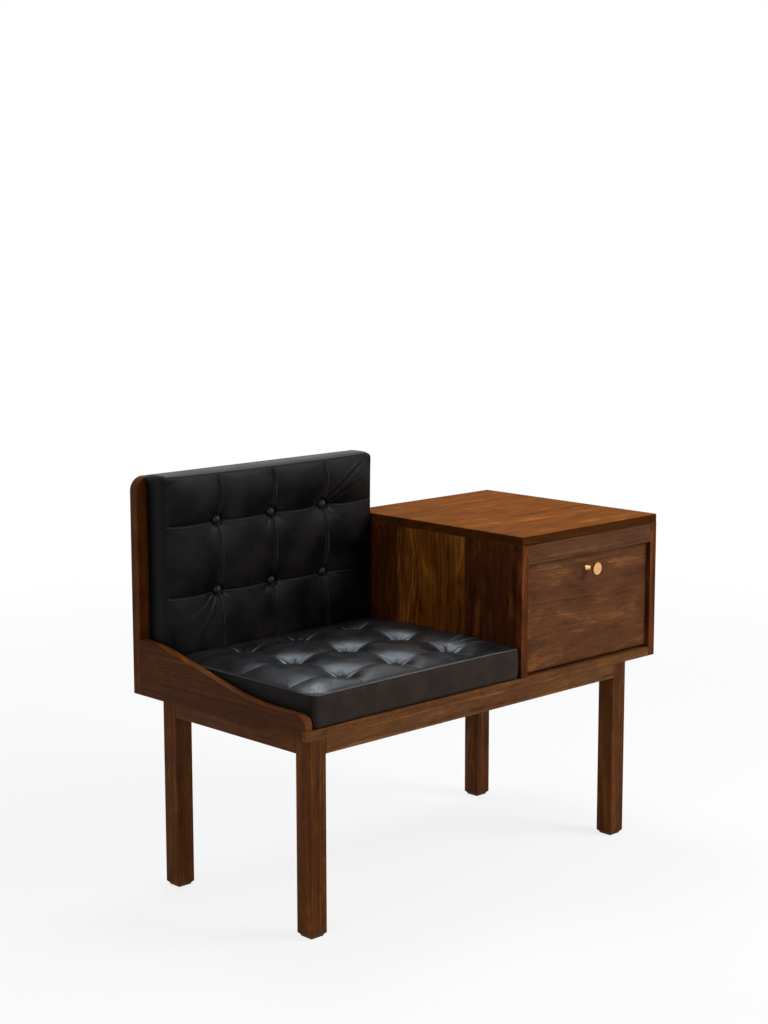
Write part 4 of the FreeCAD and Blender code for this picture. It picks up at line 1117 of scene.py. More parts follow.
    def _body(self) -> tuple[Skin, Array]:
        """The closed cushion before it is filled.

        The top and bottom are the same grid. Rows of the outline join them, bulged outwards as a
        parabola of their height and drawn in at the top and bottom edges.

        Returns:
            The skin in the cushion's own frame, and for each point 1 on the face, 0 at the bottom
            and in between up the border.
        """
        lines_u = self._stations(self.tufts_u, self.width, 5.6 * MM)
        lines_v = self._stations(self.tufts_v, self.depth, 5.6 * MM)
        v, u = np.meshgrid(lines_v, lines_u, indexing="ij")
        rows, columns = u.shape
        u, v = self._outline(u, v)
        top = np.stack([u, v, self.border + self._lift(u, v)], -1).reshape(-1, 3)
        bottom = np.stack([u, v, np.zeros_like(u)], -1).reshape(-1, 3)
        number = np.arange(rows * columns).reshape(rows, columns)
        ring = np.concatenate(
            [number[0, :-1], number[:-1, -1], number[-1, :0:-1], number[:0:-1, 0]]
        )
        share = np.array([0.04, 0.1, 0.2, 0.32, 0.45, 0.58, 0.7, 0.8, 0.88, 0.94, 0.975])
        edge = top[ring, :2]
        r = self.corner
        inner = np.clip(edge, r, [self.width - r, self.depth - r])
        out = (edge - inner) / np.linalg.norm(edge - inner, axis=1, keepdims=True)
        swell = 1.6 * MM * (4 * share * (1 - share)) - 1.2 * MM * (1 - share) ** 8
        swell = swell - self.rounding * share**10
        sides = edge[None] + swell[:, None, None] * out[None]
        levels = np.broadcast_to((share * self.border)[:, None, None], sides.shape[:2] + (1,))
        walls = np.concatenate([sides, levels], -1).reshape(-1, 3)
        count = rows * columns
        top[ring, :2] -= 1.25 * self.rounding * out
        bottom[ring, :2] -= 2.4 * MM * out
        wall_rows = 2 * count + np.arange(len(walls)).reshape(len(share), len(ring))
        ladder = np.concatenate([(ring + count)[None], wall_rows, ring[None]])
        after = np.roll(ladder, -1, axis=1)
        quads = np.stack([ladder[:-1], after[:-1], after[1:], ladder[1:]], -1).reshape(-1, 4)
        face = lattice(rows, columns)
        points = np.concatenate([top, bottom, walls])
        panel = np.concatenate([np.ones(count), np.zeros(count), np.repeat(share, len(ring))])
        return Skin(points, [face, face[:, ::-1] + count, quads]), panel

    def _hold(self, points: Array, panel: Array) -> Array:
        """How firmly each point is held while the cushion fills, from 0 to 1.

        Tufts, the base and the border's seam are held, and the sewn seams give a little.

        Args:
            points: The skin's points.
            panel: 1 on the face and 0 at the bottom.

        Returns:
            The hold.
        """
        u, v = points[:, 0], points[:, 1]
        face = panel > 0.99
        seam_u = np.min([abs(u - a) for a in self.tufts_u], axis=0) < 2.5 * MM
        seam_v = np.min([abs(v - b) for b in self.tufts_v], axis=0) < 2.5 * MM
        hold = np.where(face & (seam_u | seam_v), self.seam_hold, 0.0)
        hold[face & (self._near_tuft(u, v) < 8 * MM)] = 1.0
        rim = np.minimum(np.minimum(u, self.width - u), np.minimum(v, self.depth - v))
        hold[face & (rim < 4 * MM)] = 0.9
        hold[~face] = np.where(panel[~face] < 0.05, 1.0, 0.3)
        return hold

    def _filled(self, piece: Any, panel: Array) -> None:
        """Fills the cushion by cloth simulation under pressure and keeps the result.

        Args:
            piece: The cushion's object.
            panel: 1 on the face and 0 at the bottom.
        """
        mesh = piece.data
        start = read_points(mesh)
        hold = np.round(self._hold(self.from_row(start), panel), 1)
        group = piece.vertex_groups.new(name="held")
        for level in np.unique(hold[hold > 0]):
            group.add(np.flatnonzero(hold == level).tolist(), float(level), "REPLACE")
        air = piece.modifiers.new("air", "CLOTH")
        settings = air.settings
        settings.quality = 5
        settings.mass = 0.3
        settings.tension_stiffness = settings.compression_stiffness = 22
        settings.shear_stiffness = 12
        settings.bending_stiffness = 1.2
        settings.use_pressure = True
        settings.uniform_pressure_force = self.pressure
        settings.vertex_group_mass = "held"
        settings.effector_weights.gravity = 0.0
        air.collision_settings.use_collision = False
        scene = bpy.context.scene
        for frame in range(1, 21):
            scene.frame_set(frame)
        graph = bpy.context.evaluated_depsgraph_get()
        end = read_points(piece.evaluated_get(graph).data)
        piece.modifiers.remove(air)
        scene.frame_set(1)
        move = end - start
        length = np.linalg.norm(move, axis=1, keepdims=True) + 1e-9
        write_points(mesh, start + move * self.cap * np.tanh(length / self.cap) / length)

    def _sewn(self, u: Array, v: Array) -> tuple[Array, Array]:
        """The sewn detail on the face: seam grooves, pleat lips, puckers, creases and blind ties.

        A groove and its lip are bell curves of the distance to the seam. The lip stands highest
        near a tuft. Puckers are waves of the angle round a tuft that fade with the distance, and
        a crease is a bell curve that fades at both ends.

        Args:
            u: Places across.
            v: Places up the face.

        Returns:
            How far the leather stands out, and the fold: above 0 for a painted highlight on pleats
            and creases, below 0 for painted shade in the seams.
        """

        def bell(x: Array, wide: float) -> Array:
            """A bell curve of a width."""
            return np.exp(-((x / wide) ** 2))

        rng = np.random.default_rng(self.seed)
        out = np.zeros_like(u)
        pale, dark = np.zeros_like(u), np.zeros_like(u)
        lines = [(u, v, a, self.tufts_v, self.depth, self.lip_along_v) for a in self.tufts_u]
        lines += [(v, u, b, self.tufts_u, self.width, -self.lip_along_u) for b in self.tufts_v]
        for across, along, place, ties, end, lip in lines:
            marks = np.array([0.0, *ties, end])
            number = np.clip(np.searchsorted(marks, along.ravel()) - 1, 0, len(marks) - 2)
            low, high = marks[number].reshape(u.shape), marks[number + 1].reshape(u.shape)
            arch = np.sin(np.pi * np.clip((along - low) / (high - low), 0, 1))
            bow = self.twin_pleat if lip > 0 else -self.sag
            gap = across - place - bow * arch
            near = np.min([abs(along - t) for t in ties], axis=0)
            power = 0.15 + 0.85 * np.exp(-((near / (36 * MM)) ** 2))
            if self.sag:
                power = 0.8 + 0.2 * power
            if self.twin_pleat and lip > 0:
                ridge = bell(gap - 3.2 * MM, 1.2 * MM) + bell(gap + 3.2 * MM, 1.2 * MM)
                out += lip * ridge - 0.4 * lip * bell(gap, 1.8 * MM)
                # painted highlight on both ridges of the twin pleat, fainter on one side
                pale = np.maximum(pale, bell(gap - 3.4 * MM, 1.1 * MM))
                pale = np.maximum(pale, 0.5 * bell(gap + 3.4 * MM, 1.1 * MM))
            else:
                past = gap + self.pleat_gap
                ridge = bell(past, self.pleat_wide)
                out += power * (abs(lip) * ridge - self.groove * bell(gap, 1.3 * MM))
                # painted highlight along the pleat's lip, and painted shade in the seam's groove
                wear_and_highlight = bell(past, 0.9 * self.pleat_wide)
                pale = np.maximum(pale, self.pleat_highlight * power**2 * wear_and_highlight)
                dark = np.maximum(dark, power * bell(gap, 1.3 * MM))
        for a in self.tufts_u:
            for b in self.tufts_v:
                du, dv = u - a, v - b
                r = np.hypot(du, dv)
                angle = np.arctan2(dv, du)
                phase = rng.uniform(0, 6.28, 3)
                waves = np.sin(5 * angle + phase[0]) + 0.8 * np.sin(8 * angle + phase[1])
                waves += 0.5 * np.sin(13 * angle + phase[2])
                out += self.pucker * waves * bell(r - self.tie_radius - 10 * MM, 9 * MM)
                sunk = np.clip((self.tie_radius + 4 * MM - r) / (4 * MM), 0, 1)
                out -= self.tie_depth * sunk**2 * (3 - 2 * sunk)
        for crease in self.creases:
            start, end = np.array(crease.start), np.array(crease.end)
            line = end - start
            length = float(np.linalg.norm(line))
            along = ((u - start[0]) * line[0] + (v - start[1]) * line[1]) / length**2
            gap = ((v - start[1]) * line[0] - (u - start[0]) * line[1]) / length
            gap = gap - 3 * MM * np.sin(np.pi * along)
            fade = np.clip(1.1 - abs(2 * along - 1) ** 3, 0, 1)
            fold = bell(gap, crease.width) - 0.8 * bell(gap - 1.9 * crease.width, crease.width)
            out -= crease.depth * fade * fold
            # painted highlight along the crease's lip
            pale = np.maximum(pale, 0.35 * fade * bell(gap + 1.2 * crease.width, crease.width))
        return out, pale - dark

    def _finished(self, piece: Any) -> Any:
        """Subdivides the filled cushion once, and works the sewn detail into it.

        Args:
            piece: The filled cushion, with its unfilled places in the attribute rest.

        Returns:
            The finished cushion.
        """
        fine = piece.modifiers.new("fine", "SUBSURF")
        fine.levels = fine.render_levels = 1
        graph = bpy.context.evaluated_depsgraph_get()
        mesh = bpy.data.meshes.new_from_object(piece.evaluated_get(graph))
        piece.modifiers.remove(fine)
        old, piece.data = piece.data, mesh
        bpy.data.meshes.remove(old)
        rest = np.empty(len(mesh.vertices) * 3, np.float32)
        mesh.attributes["rest"].data.foreach_get("vector", rest)
        u, v, panel = rest.reshape(-1, 3).T.astype(float)
        normals = np.empty(len(mesh.vertices) * 3, np.float32)
        mesh.vertices.foreach_get("normal", normals)
        face = np.clip((panel - 0.98) / 0.02, 0, 1)
        rim = np.minimum(np.minimum(u, self.width - u), np.minimum(v, self.depth - v))
        sewn, fold = self._sewn(u, v)
        inside = face * np.clip((rim - 2 * MM) / (14 * MM), 0, 1)
        out = sewn * inside
        drop = (1 - panel) * self.border
        welt = np.exp(-(((drop - 1.0 * MM) / (1.6 * MM)) ** 2)) * (1 - face)
        sunk = np.exp(-(((drop - 4.6 * MM) / (1.5 * MM)) ** 2)) * (1 - face)
        lap = np.exp(-(((rim - 3.8 * MM) / (1.4 * MM)) ** 2)) * face
        out += 0.3 * MM * welt - 0.5 * MM * sunk - self.rim_groove * lap
        normals = normals.reshape(-1, 3)
        # painted shade: darker along the face's rim, and on the border's sides that face along X
        fold = fold * inside - face * np.exp(-(((rim - 0.6 * MM) / (1.6 * MM)) ** 2))
        fold = fold - (1 - face) * np.clip(normals[:, 0] ** 2, 0, 0.85)
        mark = mesh.attributes.new("fold", "FLOAT", "POINT")
        mark.data.foreach_set("value", np.clip(fold, -1, 1).astype(np.float32))
        points = read_points(mesh) + out[:, None] * normals
        own = self.from_row(points)
        over = np.maximum(own[:, 2] - self.height, 0.0)
        own[:, 2] += 2 * MM * np.tanh(over / (2 * MM)) - over
        own = np.clip(own, 0.0, [self.width, self.depth, self.height + 2 * MM])
        write_points(mesh, self.to_row(own))
        corners = np.empty(len(mesh.loops), np.int32)
        mesh.loops.foreach_get("vertex_index", corners)
        border = panel[corners.reshape(-1, 4)].min(1) < 0.97
        mesh.polygons.foreach_set("material_index", border.astype(np.int32))
        edges = np.empty(len(mesh.loops), np.int32)
        mesh.loops.foreach_get("edge_index", edges)
        below = np.bincount(edges[np.repeat(border, 4)], minlength=len(mesh.edges)) > 0
        above = np.bincount(edges[np.repeat(~border, 4)], minlength=len(mesh.edges)) > 0
        sharp = mesh.attributes.new("sharp_edge", "BOOLEAN", "EDGE")
        sharp.data.foreach_set("value", below & above)
        mesh.polygons.foreach_set("use_smooth", [True] * len(mesh.polygons))
        return piece

    def built(self, finishes: Finishes) -> Any:
        """Makes the cushion.

        Args:
            finishes: The bench's finishes.

        Returns:
            The finished cushion, riding on the bench.
        """
        skin, panel = self._body()
        rest = np.concatenate([skin.points[:, :2], panel[:, None]], 1)
        skin.points = self.to_row(skin.points)
        seat = self.facing is Facing.UP
        piece = skin.made(self.name, finishes.hide_seat if seat else finishes.hide_back)
        place = piece.data.attributes.new("rest", "FLOAT_VECTOR", "POINT")
        place.data.foreach_set("vector", rest.astype(np.float32).ravel())
        piece.data.materials.append(finishes.hide_border if seat else finishes.hide_back)
        self._filled(piece, panel)
        self._finished(piece)
        shown(piece, Body.ROOT, Slot.HIDE, self.node)
        return piece

    def surface(self, piece: Any, u: Array, v: Array) -> tuple[Array, Array]:
        """Finds points of the finished face.

        Args:
            piece: The finished cushion.
            u: Places across.
            v: Places up the face.

        Returns:
            The points and the surface's normals there, in the row frame.
        """
        tree = BVHTree.FromPolygons(
            read_points(piece.data).tolist(), [tuple(p.vertices) for p in piece.data.polygons]
        )
        above = self.to_row(np.stack([u, v, np.full_like(u, self.height + 0.1)], -1))
        down = Vector((0, 0, -1)) if self.facing is Facing.UP else Vector((0, 1, 0))
        found = [tree.ray_cast(Vector(p), down) for p in above]
        points = np.array([tuple(hit[0]) for hit in found])
        normals = np.array([tuple(hit[1]) for hit in found])
        return points, normals

    def stitched(self, piece: Any, finishes: Finishes) -> Any:
        """Sews a row of stitches along the face's edge, inside the border's seam.

        Each stitch is a short bead with pointed ends, laid along the outline's direction.

        Args:
            piece: The finished cushion.
            finishes: The bench's finishes.

        Returns:
            The stitches as one piece.
        """
        inset, pitch = 6.5 * MM, 5.2 * MM
        spans = []
        for a, b in (((0, 0), (1, 0)), ((1, 0), (1, 1)), ((1, 1), (0, 1)), ((0, 1), (0, 0))):
            size = np.array([self.width, self.depth])
            start = inset + np.array(a) * (size - 2 * inset)
            end = inset + np.array(b) * (size - 2 * inset)
            length = float(np.linalg.norm(end - start))
            share = np.arange(0.02, 0.98, pitch / length)[:, None]
            spans.append(start + share * (end - start))
        flat = np.concatenate(spans)
        u, v = self._outline(flat[:, 0], flat[:, 1])
        points, normals = self.surface(piece, u, v)
        ahead = np.roll(points, -1, axis=0) - points
        ahead /= np.linalg.norm(ahead, axis=1, keepdims=True)
        share = np.array([-1.0, -0.55, 0.0, 0.55, 1.0])
        girth = 0.42 * MM * np.sqrt(1.02 - share**2)
        angle = np.linspace(0, 2 * np.pi, 6, endpoint=False)
        side = np.cross(normals, ahead)
        ring = (
            np.cos(angle)[None, None, :, None] * side[:, None, None, :]
            + np.sin(angle)[None, None, :, None] * normals[:, None, None, :]
        )
        spine = points[:, None] + 1.7 * MM * share[None, :, None] * ahead[:, None]
        spine = spine + 0.12 * MM * normals[:, None]
        beads = spine[:, :, None] + girth[None, :, None, None] * ring
        count, steps, around = beads.shape[:3]
        block = steps * around
        caps = [np.arange(around)[::-1], np.arange(around) + block - around]
        starts = (np.arange(count) * block)[:, None]
        tube = lattice(steps, around, wrap=True)
        tubes = (tube[None] + starts[:, :, None]).reshape(-1, 4)
        ends = [cap[None] + starts for cap in caps]
        skin = Skin(beads.reshape(-1, 3), [tubes, *ends])
        made = skin.made(self.name + "_stitches", finishes.thread)
        return shown(made, Body.ROOT, Slot.HIDE)


def read_points(mesh: Any) -> Array:
    """A mesh's points as an array.

    Args:
        mesh: The mesh.

    Returns:
        The points, one row each.
    """
    flat = np.empty(len(mesh.vertices) * 3, np.float32)
    mesh.vertices.foreach_get("co", flat)
    return flat.reshape(-1, 3).astype(float)


def write_points(mesh: Any, points: Array) -> None:
    """Puts an array of points into a mesh."""
    mesh.vertices.foreach_set("co", points.astype(np.float32).ravel())
    mesh.update()


@dataclass
class Upholstery:
    """The seat cushion, the back cushion with its covered buttons, and the back's tapes."""

    button_radius: float = 9.2 * MM
    button_rise: float = 5.4 * MM
    tape_rows: int = 36

    def seat(self) -> Cushion:
        """The seat: nine blind tufts joined by pleated seams.

        Returns:
            The seat cushion.
        """
        return Cushion(
            name="seat_cushion_hide", node="seat_cushion", facing=Facing.UP,
            border=60 * MM, crown=15 * MM,
            tufts_u=(0.127, 0.264, 0.401), tufts_v=(0.066, 0.198, 0.330),
            seam_along_v=3.6 * MM, seam_along_u=3.6 * MM, tuft_drop=23 * MM, funnel=56 * MM,
            lip_along_v=2.6 * MM, lip_along_u=2.6 * MM, plump=3.0, shoulder=60 * MM, cap=5 * MM,
            spread=1.75, pleat_highlight=1.0, pleat_gap=5.5 * MM, pleat_wide=1.7 * MM,
            seam_hold=0.5, tie_radius=8 * MM, tie_depth=3 * MM, rounding=0.7 * MM,
            creases=(
                Crease((0.014, 0.014), (0.044, 0.034), 0.9 * MM, 2.4 * MM),
                Crease((0.500, 0.050), (0.420, 0.070), 0.8 * MM, 2.2 * MM),
                Crease((0.505, 0.085), (0.428, 0.080), 0.8 * MM, 2.2 * MM),
                Crease((0.500, 0.120), (0.430, 0.092), 0.7 * MM, 2.2 * MM),
                Crease((0.060, 0.020), (0.110, 0.052), 0.6 * MM, 2.4 * MM),
            ),
            seed=4,
        )

    def back(self) -> Cushion:
        """The back: six buttons, sewn rows, and pleats that bow from button to button.

        Returns:
            The back cushion.
        """
        return Cushion(
            name="back_cushion_hide", node="back_cushion", facing=Facing.FRONT,
            border=55 * MM, crown=8 * MM,
            tufts_u=(0.127, 0.261, 0.395), tufts_v=(0.1689, 0.3034),
            seam_along_v=1.5 * MM, seam_along_u=4.6 * MM, tuft_drop=13 * MM, funnel=56 * MM,
            lip_along_v=1.7 * MM, lip_along_u=0.5 * MM, twin_pleat=5 * MM, sag=2.5 * MM,
            groove=3.4 * MM, pucker=0.2 * MM, tie_radius=10 * MM, tie_depth=3.5 * MM,
            seam_hold=0.6, rounding=2.2 * MM, rim_groove=1.1 * MM,
            creases=(
                Crease((0.402, 0.312), (0.510, 0.385), 1.5 * MM, 2.6 * MM),
                Crease((0.408, 0.305), (0.515, 0.352), 0.8 * MM, 2.0 * MM),
                Crease((0.119, 0.160), (0.060, 0.085), 1.2 * MM, 2.4 * MM),
                Crease((0.112, 0.165), (0.040, 0.120), 0.6 * MM, 2.0 * MM),
                Crease((0.402, 0.163), (0.455, 0.105), 1.0 * MM, 2.0 * MM),
                Crease((0.408, 0.168), (0.480, 0.135), 0.8 * MM, 2.0 * MM),
                Crease((0.118, 0.312), (0.060, 0.345), 0.7 * MM, 2.0 * MM),
                Crease((0.125, 0.315), (0.080, 0.370), 0.5 * MM, 2.0 * MM),
            ),
            seed=9,
        )

    def buttons(self, back: Cushion, finishes: Finishes) -> Any:
        """Covered buttons: leather domes with a gathered rim, one in each recess.

        A dome's height falls with the square of the radius, and its rim has twelve shallow
        gathers, a wave of the angle that fades towards the middle.

        Args:
            back: The cushion that they sit in.
            finishes: The bench's finishes.

        Returns:
            The buttons as one piece.
        """
        share = np.array([0.0, 0.3, 0.55, 0.75, 0.88, 0.96, 1.0, 1.0, 0.93])
        radii = self.button_radius * np.concatenate([[0.4], share[1:][::-1]])
        dome = self.button_rise * (1 - share[1:-1] ** 2.6)
        heights = np.concatenate([[-5.5 * MM, -4.6 * MM, -2.4 * MM], dome[:-1][::-1]])
        radii = radii[: len(heights)]
        angle = np.linspace(0, 2 * np.pi, 48, endpoint=False)
        fold = np.clip(radii / self.button_radius - 0.6, 0, 1)[:, None]
        gathers = 0.7 * MM * fold * (0.5 + 0.5 * np.cos(12 * angle))[None]
        button = turned(radii, heights, 48, gathers)
        level = float(back.high[1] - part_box("back_buttons")[0].y) - self.button_rise
        spots = [(a, b) for b in back.tufts_v for a in back.tufts_u]
        centres = back.to_row(np.array([(a, b, level) for a, b in spots]))
        skins = [
            button.placed(centre, (0, -1, 0), 0.4 * index)
            for index, centre in enumerate(centres)
        ]
        made = Skin.joined(skins).made("back_buttons_covered", finishes.hide_button)
        return shown(made, Body.ROOT, Slot.HIDE, "back_buttons")

    def tapes(self, finishes: Finishes) -> Any:
        """Two strips of hook and loop tape with ribbed faces and bound edges.

        The thickness is a wave along the strip, thinner at the two bound edges.

        Args:
            finishes: The bench's finishes.

        Returns:
            The strips as one piece.
        """
        low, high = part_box("cushion_tapes")
        wide, thick = 50 * MM, float(high.y - low.y)
        skins = []
        for left in (low.x, high.x - wide):
            z = np.linspace(low.z, high.z, self.tape_rows * 4 + 1)
            turn = np.linspace(0, 2 * np.pi, 40, endpoint=False)
            across = np.cos(turn)
            x = left + wide / 2 * (1 + np.sign(across) * abs(across) ** 0.3)
            bulge = np.sign(np.sin(turn)) * abs(np.sin(turn)) ** 0.35
            rib = 0.93 + 0.07 * np.cos(np.linspace(0, 2 * np.pi * self.tape_rows, len(z)))
            y = (low.y + high.y) / 2 + thick / 2 * bulge[None] * rib[:, None]
            wide_x, tall_z = np.broadcast_to(x, y.shape), np.broadcast_to(z[:, None], y.shape)
            points = np.stack([wide_x, y, tall_z], -1)
            flat = points.reshape(-1, 3)
            ring = np.arange(len(turn))
            last = ring[None] + len(flat) - len(turn)
            faces = [lattice(len(z), len(turn), wrap=True), ring[::-1][None], last]
            skins.append(Skin(flat, faces))
        made = Skin.joined(skins).made("cushion_tapes_woven", finishes.tape)
        return shown(made, Body.ROOT, Slot.TAPE, "cushion_tapes")

    def build(self, finishes: Finishes) -> None:
        """Makes every soft piece.

        Args:
            finishes: The bench's finishes.
        """
        for cushion in (self.seat(), self.back()):
            piece = cushion.built(finishes)
            cushion.stitched(piece, finishes)
        self.buttons(self.back(), finishes)
        self.tapes(finishes)


def fastened(
    name: str, head: Skin, spots: Sequence[Sequence[float]], towards: Sequence[float],
    turn: float, material: bpy.types.Material,
) -> Any:
    """Sets the same head at several places, each turned a little further than the last.

    Args:
        name: The piece's name.
        head: The head's skin.
        spots: The heads' centres.
        towards: The way that they face.
        turn: The turn from one head to the next.
        material: The heads' finish.

    Returns:
        The heads as one piece, riding on the bench.
    """
    skins = [head.placed(spot, towards, turn * i) for i, spot in enumerate(spots)]
    return shown(Skin.joined(skins).made(name, material), Body.ROOT, Slot.STEEL)


@dataclass
class Stand:
    """The four legs with their pads, the aprons between them and the corner blocks."""

    screw_radius: float = 3.8 * MM
    screw_depth: float = 3.0 * MM
    screw_inset: float = 26.1 * MM

    def dress(self, nodes: Nodes, finishes: Finishes) -> None:
        """Gives the frame's CAD nodes their finishes.

        Args:
            nodes: The frame's CAD nodes by name.
            finishes: The bench's finishes.
        """
        legs = ["leg_front_left", "leg_front_right", "leg_back_left", "leg_back_right"]
        dressed(nodes, legs, finishes.leg)
        dressed(nodes, ["apron_front", "apron_back"], finishes.apron_x)
        dressed(nodes, ["apron_left", "apron_right"], finishes.apron_y)
        dressed(nodes, ["corner_blocks"], finishes.plain)
        dressed(nodes, ["foot_pads"], finishes.felt)

    def screws(self, finishes: Finishes) -> Any:
        """One screw up through each corner block.

        Args:
            finishes: The bench's finishes.

        Returns:
            The screws as one piece.
        """
        low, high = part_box("corner_blocks")
        inset = self.screw_inset
        head = screw_head(self.screw_radius, self.screw_depth, cross=True)
        spots = [
            (x, y, low.z)
            for x in (low.x + inset, high.x - inset)
            for y in (low.y + inset, high.y - inset)
        ]
        return fastened("block_screws", head, spots, (0, 0, -1), 0.7, finishes.steel)

    def build(self, nodes: Nodes, finishes: Finishes) -> None:
        """Dresses the stand and adds its screws."""
        self.dress(nodes, finishes)
        self.screws(finishes)


@dataclass
class SeatAndBack:
    """The seat board with its lipping, the scroll side and the back panel."""

    screw_radius: float = 3.8 * MM
    screw_depth: float = 3.0 * MM
    row_low: float = 0.365
    row_places: tuple[float, ...] = (-0.430, -0.2777, -0.1253, 0.027)
    side_places: tuple[tuple[float, float], ...] = (
        (-0.466, 0.425), (0.077, 0.440), (0.077, 0.570),
    )

    def dress(self, nodes: Nodes, finishes: Finishes) -> None:
        """Gives the boards their finishes.

        Args:
            nodes: The frame's CAD nodes by name.
            finishes: The bench's finishes.
        """
        dressed(nodes, ["seat_board"], finishes.board)
        dressed(nodes, ["front_lipping"], finishes.lipping)
        dressed(nodes, ["scroll_side"], finishes.side)
        dressed(nodes, ["back_panel"], finishes.back)
        dressed(nodes, ["seat_tongues", "back_tongues"], finishes.plain)

    def screws(self, finishes: Finishes) -> Any:
        """The screws that hold the back panel, along its foot and into the side and cabinet.

        Args:
            finishes: The bench's finishes.

        Returns:
            The screws as one piece.
        """
        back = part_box("back_panel")[1].y
        spots = [(x, back, self.row_low) for x in self.row_places]
        spots += [(x, back, z) for x, z in self.side_places]
        head = screw_head(self.screw_radius, self.screw_depth, cross=True)
        return fastened("back_panel_screws", head, spots, (0, 1, 0), 0.9, finishes.steel)

    def build(self, nodes: Nodes, finishes: Finishes) -> None:
        """Dresses the boards and adds the screws."""
        self.dress(nodes, finishes)
        self.screws(finishes)


@dataclass
class Cabinet:
    """The cabinet's case, its back sheet and the rail above the flap."""

    pin_radius: float = 1.6 * MM
    pin_depth: float = 2.0 * MM
    side_pins: tuple[float, ...] = (0.419, 0.501, 0.583)
    top_pins: tuple[float, ...] = (0.135, 0.2735, 0.412)
    side_line: float = 0.461
    top_line: float = 0.632

    def dress(self, nodes: Nodes, finishes: Finishes) -> None:
        """Gives the case's CAD nodes their finishes.

        Args:
            nodes: The frame's CAD nodes by name.
            finishes: The bench's finishes.
        """
        dressed(nodes, ["cabinet_left_panel", "cabinet_right_panel"], finishes.case)
        dressed(nodes, ["cabinet_top"], finishes.top)
        dressed(nodes, ["cabinet_back"], finishes.ply)
        dressed(nodes, ["cabinet_tongues"], finishes.plain)
        dressed(nodes, ["top_rail"], finishes.rail)

    def pins(self, finishes: Finishes) -> Any:
        """The panel pins that hold the back sheet.

        Args:
            finishes: The bench's finishes.

        Returns:
            The pins as one piece.
        """
        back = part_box("cabinet_back")[1].y
        spots = [(self.side_line, back, z) for z in self.side_pins]
        spots += [(x, back, self.top_line) for x in self.top_pins]
        head = screw_head(self.pin_radius, self.pin_depth, cross=False)
        return fastened("cabinet_back_pins", head, spots, (0, 1, 0), 0.5, finishes.steel)

    def build(self, nodes: Nodes, finishes: Finishes) -> None:
        """Dresses the case and adds the pins."""
        self.dress(nodes, finishes)
        self.pins(finishes)


@dataclass
class FlapFittings:
    """The flap with its knob, pivots, catch and slotted stay, and their small screws."""

    small_radius: float = 2.2 * MM
    small_depth: float = 1.6 * MM
    bracket_plate: float = 2.0 * MM
    stud_plate: float = 1.5 * MM
    strike_place: tuple[float, float] = (0.1055, 0.566)
    bracket_places: tuple[tuple[float, float], ...] = ((0.4343, 0.5141), (0.4403, 0.5085))
    catch_face: float = 0.0925
    catch_line: float = -0.19275
    catch_heights: tuple[float, float] = (0.551, 0.581)
    stud_heights: tuple[float, float] = (0.4864, 0.5064)

    def dress(self, nodes: Nodes, finishes: Finishes) -> None:
        """Gives the flap and its fittings their finishes.

        Args:
            nodes: The frame's CAD nodes by name.
            finishes: The bench's finishes.
        """
        dressed(nodes, ["flap"], finishes.flap)
        dressed(nodes, ["knob"], finishes.copper)
        dressed(nodes, ["knob_screw", "strike_plate", "catch_magnet"], finishes.steel)
        dressed(nodes, ["catch_body"], finishes.catch)
        brass = ["flap_pivot_pins", "flap_bushes", "stay_bracket", "stay_rivet", "stay_arm"]
        dressed(nodes, [*brass, "stay_stud"], finishes.brass)

    def _heads(self, spots: Sequence[Sequence[float]], towards: Sequence[float]) -> Skin:
        """Small slotted heads at some places.

        Args:
            spots: Their centres.
            towards: The way that they face.

        Returns:
            One skin of them all.
        """
        head = screw_head(self.small_radius, self.small_depth, cross=False)
        return Skin.joined([head.placed(s, towards, 0.6 + i) for i, s in enumerate(spots)])

    def screws(self, finishes: Finishes) -> None:
        """The screws of the strike plate, the catch, the stay's bracket and its stud.

        Args:
            finishes: The bench's finishes.
        """
        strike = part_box("strike_plate")[1].y
        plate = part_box("flap")[1].y + self.bracket_plate
        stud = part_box("stay_stud")
        at_strike = [(self.strike_place[0], strike, self.strike_place[1])]
        at_bracket = [(x, plate, z) for x, z in self.bracket_places]
        at_catch = [(self.catch_face, self.catch_line, z) for z in self.catch_heights]
        wall = stud[1].x - self.stud_plate
        middle = (stud[0].y + stud[1].y) / 2
        at_stud = [(wall, middle, z) for z in self.stud_heights]
        on_strike = self._heads(at_strike, (0, 1, 0))
        on_bracket = self._heads(at_bracket, (0, 1, 0))
        on_catch = self._heads(at_catch, (1, 0, 0))
        on_stud = self._heads(at_stud, (-1, 0, 0))
        shown(on_strike.made("strike_screw", finishes.steel), Body.FLAP, Slot.STEEL)
        shown(on_bracket.made("bracket_screws", finishes.brass), Body.FLAP, Slot.BRASS)
        shown(on_catch.made("catch_screws", finishes.steel), Body.ROOT, Slot.STEEL)
        shown(on_stud.made("stud_screws", finishes.brass), Body.ROOT, Slot.BRASS)

    def build(self, nodes: Nodes, finishes: Finishes) -> None:
        """Dresses the flap and adds the small screws."""
        self.dress(nodes, finishes)
        self.screws(finishes)


@dataclass
class Lamp:
    """A soft area lamp that looks at a point."""

    name: str
    place: tuple[float, float, float]
    aim: tuple[float, float, float]
    size: float
    power: float
    colour: tuple[float, float, float] = (1.0, 1.0, 1.0)

    def build(self) -> None:
        """Makes the lamp."""
        data = bpy.data.lights.new(self.name, "AREA")
        data.shape = "SQUARE"
        data.size = self.size
        data.energy = self.power
        data.color = self.colour
        lamp = bpy.data.objects.new(self.name, data)
        lamp.location = self.place
        towards = Vector(self.aim) - Vector(self.place)
        lamp.rotation_euler = towards.to_track_quat("-Z", "Y").to_euler()
        bpy.context.scene.collection.objects.link(lamp)


